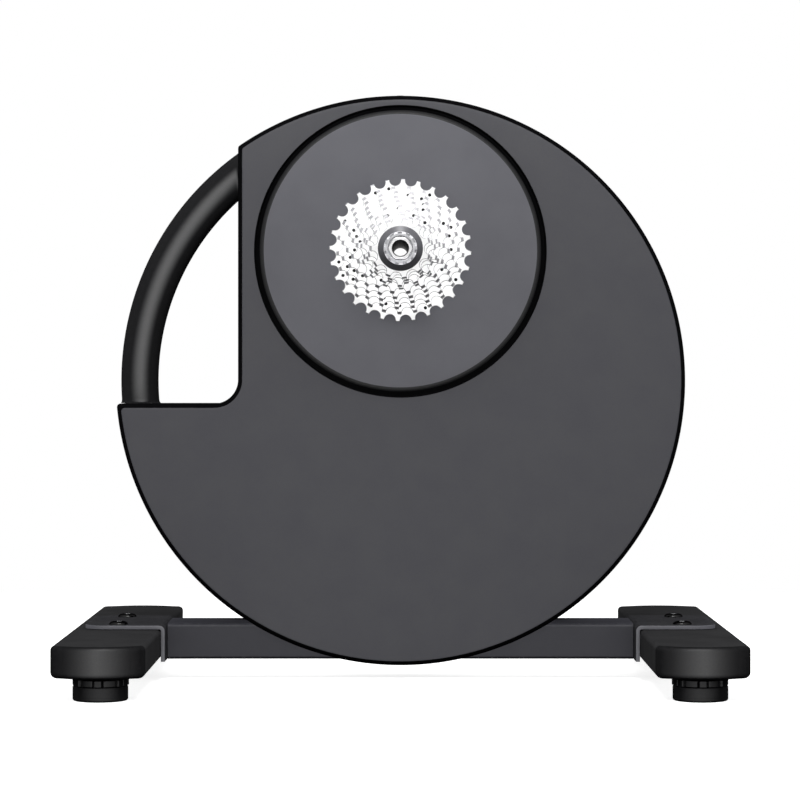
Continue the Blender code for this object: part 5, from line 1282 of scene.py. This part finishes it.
FLOOR_REACH = 40
FLOOR_FADE = (0.45, 1.1)  # between these distances the floor turns from lit to plain white
FRAME_SHIFT = (-0.0005, -0.0244)  # the camera's, for the photograph's framing
LAMPS = {  # size, the setting of its power, where it stands, where it shines, and whether it shows in gloss
    "lamp_key": ((0.6, 0.5), "key", (0, -0.85, 1.05), (0, 0, 0.30), True),
    "lamp_cassette": ((0.06, 0.06), "small", (0, -0.587, 1.638), (0, -0.07, AXLE_Z), True),
    "lamp_back": ((2.0, 1.2), "back", (0, 2.6, 1.3), (0, 0, 0.25), False),
    "lamp_overhead": ((2.0, 2.0), "top", (0, 0.2, 2.2), (0, 0, 0), False),
    "lamp_side_left": ((1.0, 1.0), "side", (-2.2, -0.3, 0.6), (0, 0, 0.1), False),
    "lamp_side_right": ((1.0, 1.0), "side", (2.2, -0.3, 0.6), (0, 0, 0.1), False),
}


def make_camera():
    """Long lens, square to the drive side, at the height of the housing's middle."""
    values = setting("stage")
    data = bpy.data.cameras.new("front_camera")
    data.sensor_width = 36
    data.lens = values.lens
    data.shift_x, data.shift_y = FRAME_SHIFT
    data.clip_end = 100
    camera = bpy.data.objects.new("front_camera", data)
    camera.location = (0, -values.distance, HOUSING_Z)
    camera.rotation_euler = (math.pi / 2, 0, 0)
    bpy.context.scene.collection.objects.link(camera)
    bpy.context.scene.camera = camera


def make_lamp(name, size, power, at, aim, shines):
    """A soft box of light, turned from where it stands to the point it lights."""
    data = bpy.data.lights.new(name, "AREA")
    data.shape = "RECTANGLE"
    data.size, data.size_y = size
    data.energy = getattr(setting("stage"), power)
    lamp = bpy.data.objects.new(name, data)
    lamp.location = at
    lamp.visible_camera = False
    lamp.visible_glossy = shines
    lamp.rotation_euler = (Vector(aim) - Vector(at)).to_track_quat("-Z", "Y").to_euler()
    bpy.context.scene.collection.objects.link(lamp)
    return lamp


def link_pieces(lamp, kind, pieces, state):
    """Says which pieces a lamp lights, or which throw its shadow: only these, or all but these."""
    group = bpy.data.collections.new(f"{lamp.name}_{kind}")
    for piece in pieces:
        group.objects.link(piece)
    for member in group.collection_objects:
        member.light_linking.link_state = state
    setattr(lamp.light_linking, kind + "_collection", group)


def make_floor():
    """A plain white floor, wide enough to reach past the view on every side. Near the object it takes
    light and shadow; away from it, it is plain white. What it throws back on the object is dimmer."""
    spots = np.linspace(-FLOOR_REACH, FLOOR_REACH, 9)
    grid = np.stack(np.meshgrid(spots, spots), -1)
    points, faces, _ = sheet(lift(grid, 0.0, "Z"), close_columns=False)
    mesh = bpy.data.meshes.new("floor")
    mesh.from_pydata(points.tolist(), [], faces.tolist())
    floor = bpy.data.objects.new("floor", mesh)
    material = bpy.data.materials.new("studio_floor")
    material.use_nodes = True
    material.node_tree.nodes.clear()
    add = partial(node, material.node_tree)
    place = add("TexCoord", output="Object")
    away = add("VectorMath", [place], "Value", operation="LENGTH")
    far = add("MapRange", [away, *FLOOR_FADE])
    lit = add("BsdfDiffuse", {"Color": srgb("f2f2f2")})
    glow = add("Emission", {"Strength": setting("stage").floor_glow})
    white = add("Emission", {"Strength": 1.0})
    seen = add("MixShader", [far, add("AddShader", [lit, glow]), white])
    dim = add("BsdfDiffuse", {"Color": srgb("6e6e6e")})
    thrown = add("LightPath", output="Is Diffuse Ray")
    add("OutputMaterial", {"Surface": add("MixShader", [thrown, seen, dim])})
    mesh.materials.append(material)
    bpy.context.scene.collection.objects.link(floor)


def make_world():
    """White all round for the camera, for gloss and for glass, and a dimmer even light for the rest."""
    world = bpy.data.worlds.new("studio")
    world.use_nodes = True
    world.node_tree.nodes.clear()
    add = partial(node, world.node_tree)
    seen = add("LightPath", output="Is Camera Ray")
    for ray in ("Is Glossy Ray", "Is Transmission Ray"):
        seen = add("Math", [seen, add("LightPath", output=ray)], operation="MAXIMUM")
    strength = add("MapRange", [seen, 0, 1, setting("stage").fill, 1.0])
    back = add("Background", {"Color": (1, 1, 1, 1), "Strength": strength})
    add("OutputWorld", {"Surface": back})
    bpy.context.scene.world = world


# Settings shown in the panel


def colour_value(name, description, code):
    """A colour, written as six hexadecimal digits."""
    return FloatVectorProperty(
        name=name, description=description, subtype="COLOR", size=4, min=0, max=1, default=srgb(code)
    )


def number_value(name, description, default, low, high, unit="LENGTH", subtype="NONE"):
    """A number, in metres unless it says otherwise."""
    return FloatProperty(
        name=name, description=description, default=default, min=low, max=high, precision=5,
        unit=unit, subtype=subtype,
    )


def lamp_value(name, description, default):
    """A lamp's power in watts."""
    return number_value(name, f"Power of the {description}", default, 0, 1000, "POWER")


class HousingValues(bpy.types.PropertyGroup):
    """Sizes and colours of the two shells."""

    face: colour_value("Face", "Colour of the housing's flat faces", "39393d")
    # The rim colour is painted shade: a near-black copy of the face's colour
    rim: colour_value("Rim", "Colour of the housing's rounded edge", "0c0c0d")
    # The side colour is painted shade: a darker copy of the face's colour
    side: colour_value("Side", "Colour of the housing's side", "1f1f21")
    edge_round: number_value("Edge round", "Radius between the face and the side", 0.005, 0.001, 0.008)
    rim_share: number_value(
        "Rim share", "Part of the rounded edge with the rim's colour", 0.82, 0, 1, "NONE", "FACTOR"
    )


class CoverValues(bpy.types.PropertyGroup):
    """Sizes and colours of the lid over the drive pulley."""

    face: colour_value("Face", "Colour of the lid's flat face", "66666b")
    # The edge colour is painted shade: the rolled edge turning away from the light
    edge: colour_value("Edge", "Colour of the lid's rolled edge and side", "19191a")
    edge_round: number_value("Edge round", "Radius of the lid's rolled edge", 0.004, 0.001, 0.008)
    edge_share: number_value(
        "Face share", "Part of the rolled edge with the face's colour", 0.06, 0, 1, "NONE", "FACTOR"
    )


class HandleValues(bpy.types.PropertyGroup):
    """Sizes and colour of the handle's rubber sleeve."""

    colour: colour_value("Colour", "Colour of the rubber", "202021")
    flare: number_value("Flare", "How far the sleeve swells where it meets the housing", 0.0014, 0, 0.004)
    flare_length: number_value("Flare length", "Length of the swell at each end", 0.0035, 0.001, 0.02)


class BaseValues(bpy.types.PropertyGroup):
    """Sizes and colours of the legs, brackets, beam and feet."""

    leg: colour_value("Legs", "Colour of the cast legs", "303031")
    # The leg ends' colour is painted shade: a darker copy of the legs' colour
    leg_end: colour_value("Leg ends", "Colour of the legs' bowed ends", "1c1c1d")
    steel: colour_value("Steel", "Colour of the painted beam", "38383d")
    plate: colour_value("Plates", "Colour of the painted brackets", "303032")
    leg_edge: number_value("Top edge", "Radius along a leg's upper edge", 0.0035, 0.001, 0.006)
    leg_foot: number_value("Bottom edge", "Radius along a leg's lower edge", 0.005, 0.001, 0.006)
    plate_edge: number_value("Plate edge", "Radius along a bracket's edges", 0.0003, 0.0002, 0.0015)
    ribs: IntProperty(name="Ribs", description="Ribs on each thumbwheel", default=7, min=3, max=24)


class CassetteValues(bpy.types.PropertyGroup):
    """Sizes and colour of the cogs, their lockring and the axle's caps."""

    plate: colour_value("Plate", "Colour of the cogs' nickel plate", "ececec")
    gap_radius: number_value("Gap radius", "Radius of the gap between two teeth", 0.0047, 0.0042, 0.0055)
    gap_depth: number_value("Gap depth", "How far a gap goes inside the pitch circle", 0.0029, 0.0025, 0.004)
    tooth_corner: number_value("Tooth corner", "Round at the corners of a tooth", 0.00012, 0.0001, 0.0005)
    tooth_bevel: number_value("Tooth bevel", "Chamfer round the teeth", 0.0004, 0.0001, 0.0006)
    tip_slope: number_value("Tip slope", "How far in each tooth's sloped tip starts", 0.0023, 0.0008, 0.0026)
    notches: IntProperty(name="Notches", description="Notches in the lockring", default=12, min=6, max=24)
    six_sides: number_value("Six sides", "How far the cap's outside leans to a hexagon", 0.0004, 0, 0.0005)


class StageValues(bpy.types.PropertyGroup):
    """Camera and light."""

    lens: number_value("Lens", "Focal length on a 36 mm sensor", 133.5, 20, 300, "CAMERA")
    distance: number_value("Distance", "Camera to the middle plane", 2.52, 1, 6)
    fill: number_value("Fill", "Strength of the even light all round", 0.2, 0, 2, "NONE")
    floor_glow: number_value("Floor glow", "White added to the floor near the object", 0.8, 0, 1, "NONE")
    key: lamp_value("Key", "lamp above the front", 11)
    small: lamp_value("Small", "cassette's own lamp", 50)
    side: lamp_value("Sides", "lamp at each side", 22)
    back: lamp_value("Back", "lamp behind", 45)
    top: lamp_value("Top", "lamp overhead", 16)


# Operators


class BuildHousing(bpy.types.Operator):
    """Makes the two shells of the housing and the screws that hold them together"""

    bl_idname = "trainer.housing"
    bl_label = "Housing shells"

    def execute(self, context):
        make_front_shell()
        make_rear_shell()
        make_shell_screws()
        return {"FINISHED"}


class BuildCover(bpy.types.Operator):
    """Makes the round lid over the drive pulley"""

    bl_idname = "trainer.cover"
    bl_label = "Pulley lid"

    def execute(self, context):
        make_disc_cover()
        return {"FINISHED"}


class BuildFittings(bpy.types.Operator):
    """Makes the status light and the power inlet"""

    bl_idname = "trainer.fittings"
    bl_label = "Light and inlet"

    def execute(self, context):
        make_status_light()
        make_inlet()
        return {"FINISHED"}


class BuildHandle(bpy.types.Operator):
    """Makes the rubber sleeve of the carrying handle"""

    bl_idname = "trainer.handle"
    bl_label = "Handle sleeve"

    def execute(self, context):
        make_grip()
        return {"FINISHED"}


class BuildBase(bpy.types.Operator):
    """Makes the beam, its two brackets, the two cast legs and the screws between them"""

    bl_idname = "trainer.base"
    bl_label = "Beam, brackets and legs"

    def execute(self, context):
        make_beam()
        for name, sign in (("front", 1), ("rear", -1)):
            make_bracket(name, sign)
            make_leg(name, sign)
        make_bracket_screws()
        return {"FINISHED"}


class BuildFeet(bpy.types.Operator):
    """Makes the four levelling feet"""

    bl_idname = "trainer.feet"
    bl_label = "Levelling feet"

    def execute(self, context):
        for name, at in FEET.items():
            make_pad(name, at)
            make_thumbwheel(name, at)
        return {"FINISHED"}


class BuildCassette(bpy.types.Operator):
    """Makes the eleven cogs and the lockring that holds them"""

    bl_idname = "trainer.cassette"
    bl_label = "Cassette"

    def execute(self, context):
        make_cogs()
        make_lockring()
        return {"FINISHED"}


class BuildCaps(bpy.types.Operator):
    """Makes the caps on both ends of the axle"""

    bl_idname = "trainer.caps"
    bl_label = "Axle caps"

    def execute(self, context):
        make_axle_caps()
        return {"FINISHED"}


class FinishInside(bpy.types.Operator):
    """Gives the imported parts, of which those inside the housing keep their own shape, their finishes"""

    bl_idname = "trainer.inside"
    bl_label = "Inside parts"

    def execute(self, context):
        for part in frame["nodes"].values():
            for place in part.material_slots:
                # The hub's axle takes the near-black bore finish: painted shade in its hole
                kind = "axle_steel" if part.name == "hub_axle" else place.material.name.split(".")[0]
                place.material = finish_named(kind)
        return {"FINISHED"}


class BuildStage(bpy.types.Operator):
    """Makes the camera, the floor, the world and the lamps. The key is kept off the cassette, whose own
    steep lamp whitens the flat cogs and leaves dark what slopes down. Only the lid and the shell under
    it throw that lamp's shadow, and they throw none of the key's"""

    bl_idname = "trainer.stage"
    bl_label = "Stage"

    def execute(self, context):
        make_camera()
        make_floor()
        make_world()
        lamps = {name: make_lamp(name, *row) for name, row in LAMPS.items()}
        pieces = context.scene.collection.objects
        cassette = ("cog_", "lockring_", "axle_cap_drive_")
        cassette = [piece for piece in pieces if piece.name.startswith(cassette)]
        flat = [piece for piece in pieces if piece.name in ("front_housing_shell", "disc_cover_lid")]
        for lamp, kind, linked, state in (
            ("lamp_key", "receiver", cassette, "EXCLUDE"),
            ("lamp_key", "blocker", flat + cassette, "EXCLUDE"),
            ("lamp_cassette", "receiver", cassette, "INCLUDE"),
            ("lamp_cassette", "blocker", flat, "INCLUDE"),
        ):
            link_pieces(lamps[lamp], kind, linked, state)
        bpy.context.scene.view_settings.view_transform = "Standard"
        return {"FINISHED"}


STEPS = (
    BuildHousing, BuildCover, BuildFittings, BuildHandle, BuildBase, BuildFeet, BuildCassette, BuildCaps,
    FinishInside, BuildStage,
)
GROUPS = {
    "housing": HousingValues,
    "cover": CoverValues,
    "handle": HandleValues,
    "base": BaseValues,
    "cassette": CassetteValues,
    "stage": StageValues,
}


class TrainerPanel(bpy.types.Panel):
    """Lists the sizes and colours, and the steps that use them"""

    bl_idname = "VIEW3D_PT_trainer"
    bl_label = "Bicycle trainer"
    bl_space_type = "VIEW_3D"
    bl_region_type = "UI"
    bl_category = "Trainer"

    def draw(self, context):
        for group, values in GROUPS.items():
            box = self.layout.box()
            box.label(text=group.capitalize())
            for value in values.__annotations__:
                box.prop(getattr(context.scene, "trainer_" + group), value)
        for step in STEPS:
            self.layout.operator(step.bl_idname)


def register():
    for kind in (*GROUPS.values(), *STEPS, TrainerPanel):
        bpy.utils.register_class(kind)
    for group, values in GROUPS.items():
        setattr(bpy.types.Scene, "trainer_" + group, PointerProperty(type=values))


def unregister():
    for group in GROUPS:
        delattr(bpy.types.Scene, "trainer_" + group)
    for kind in (TrainerPanel, *reversed(STEPS), *reversed(GROUPS.values())):
        bpy.utils.unregister_class(kind)


def main():
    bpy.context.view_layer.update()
    register()
    for step in STEPS:
        group, name = step.bl_idname.split(".")
        getattr(getattr(bpy.ops, group), name)()


if __name__ == "__main__":
    main()
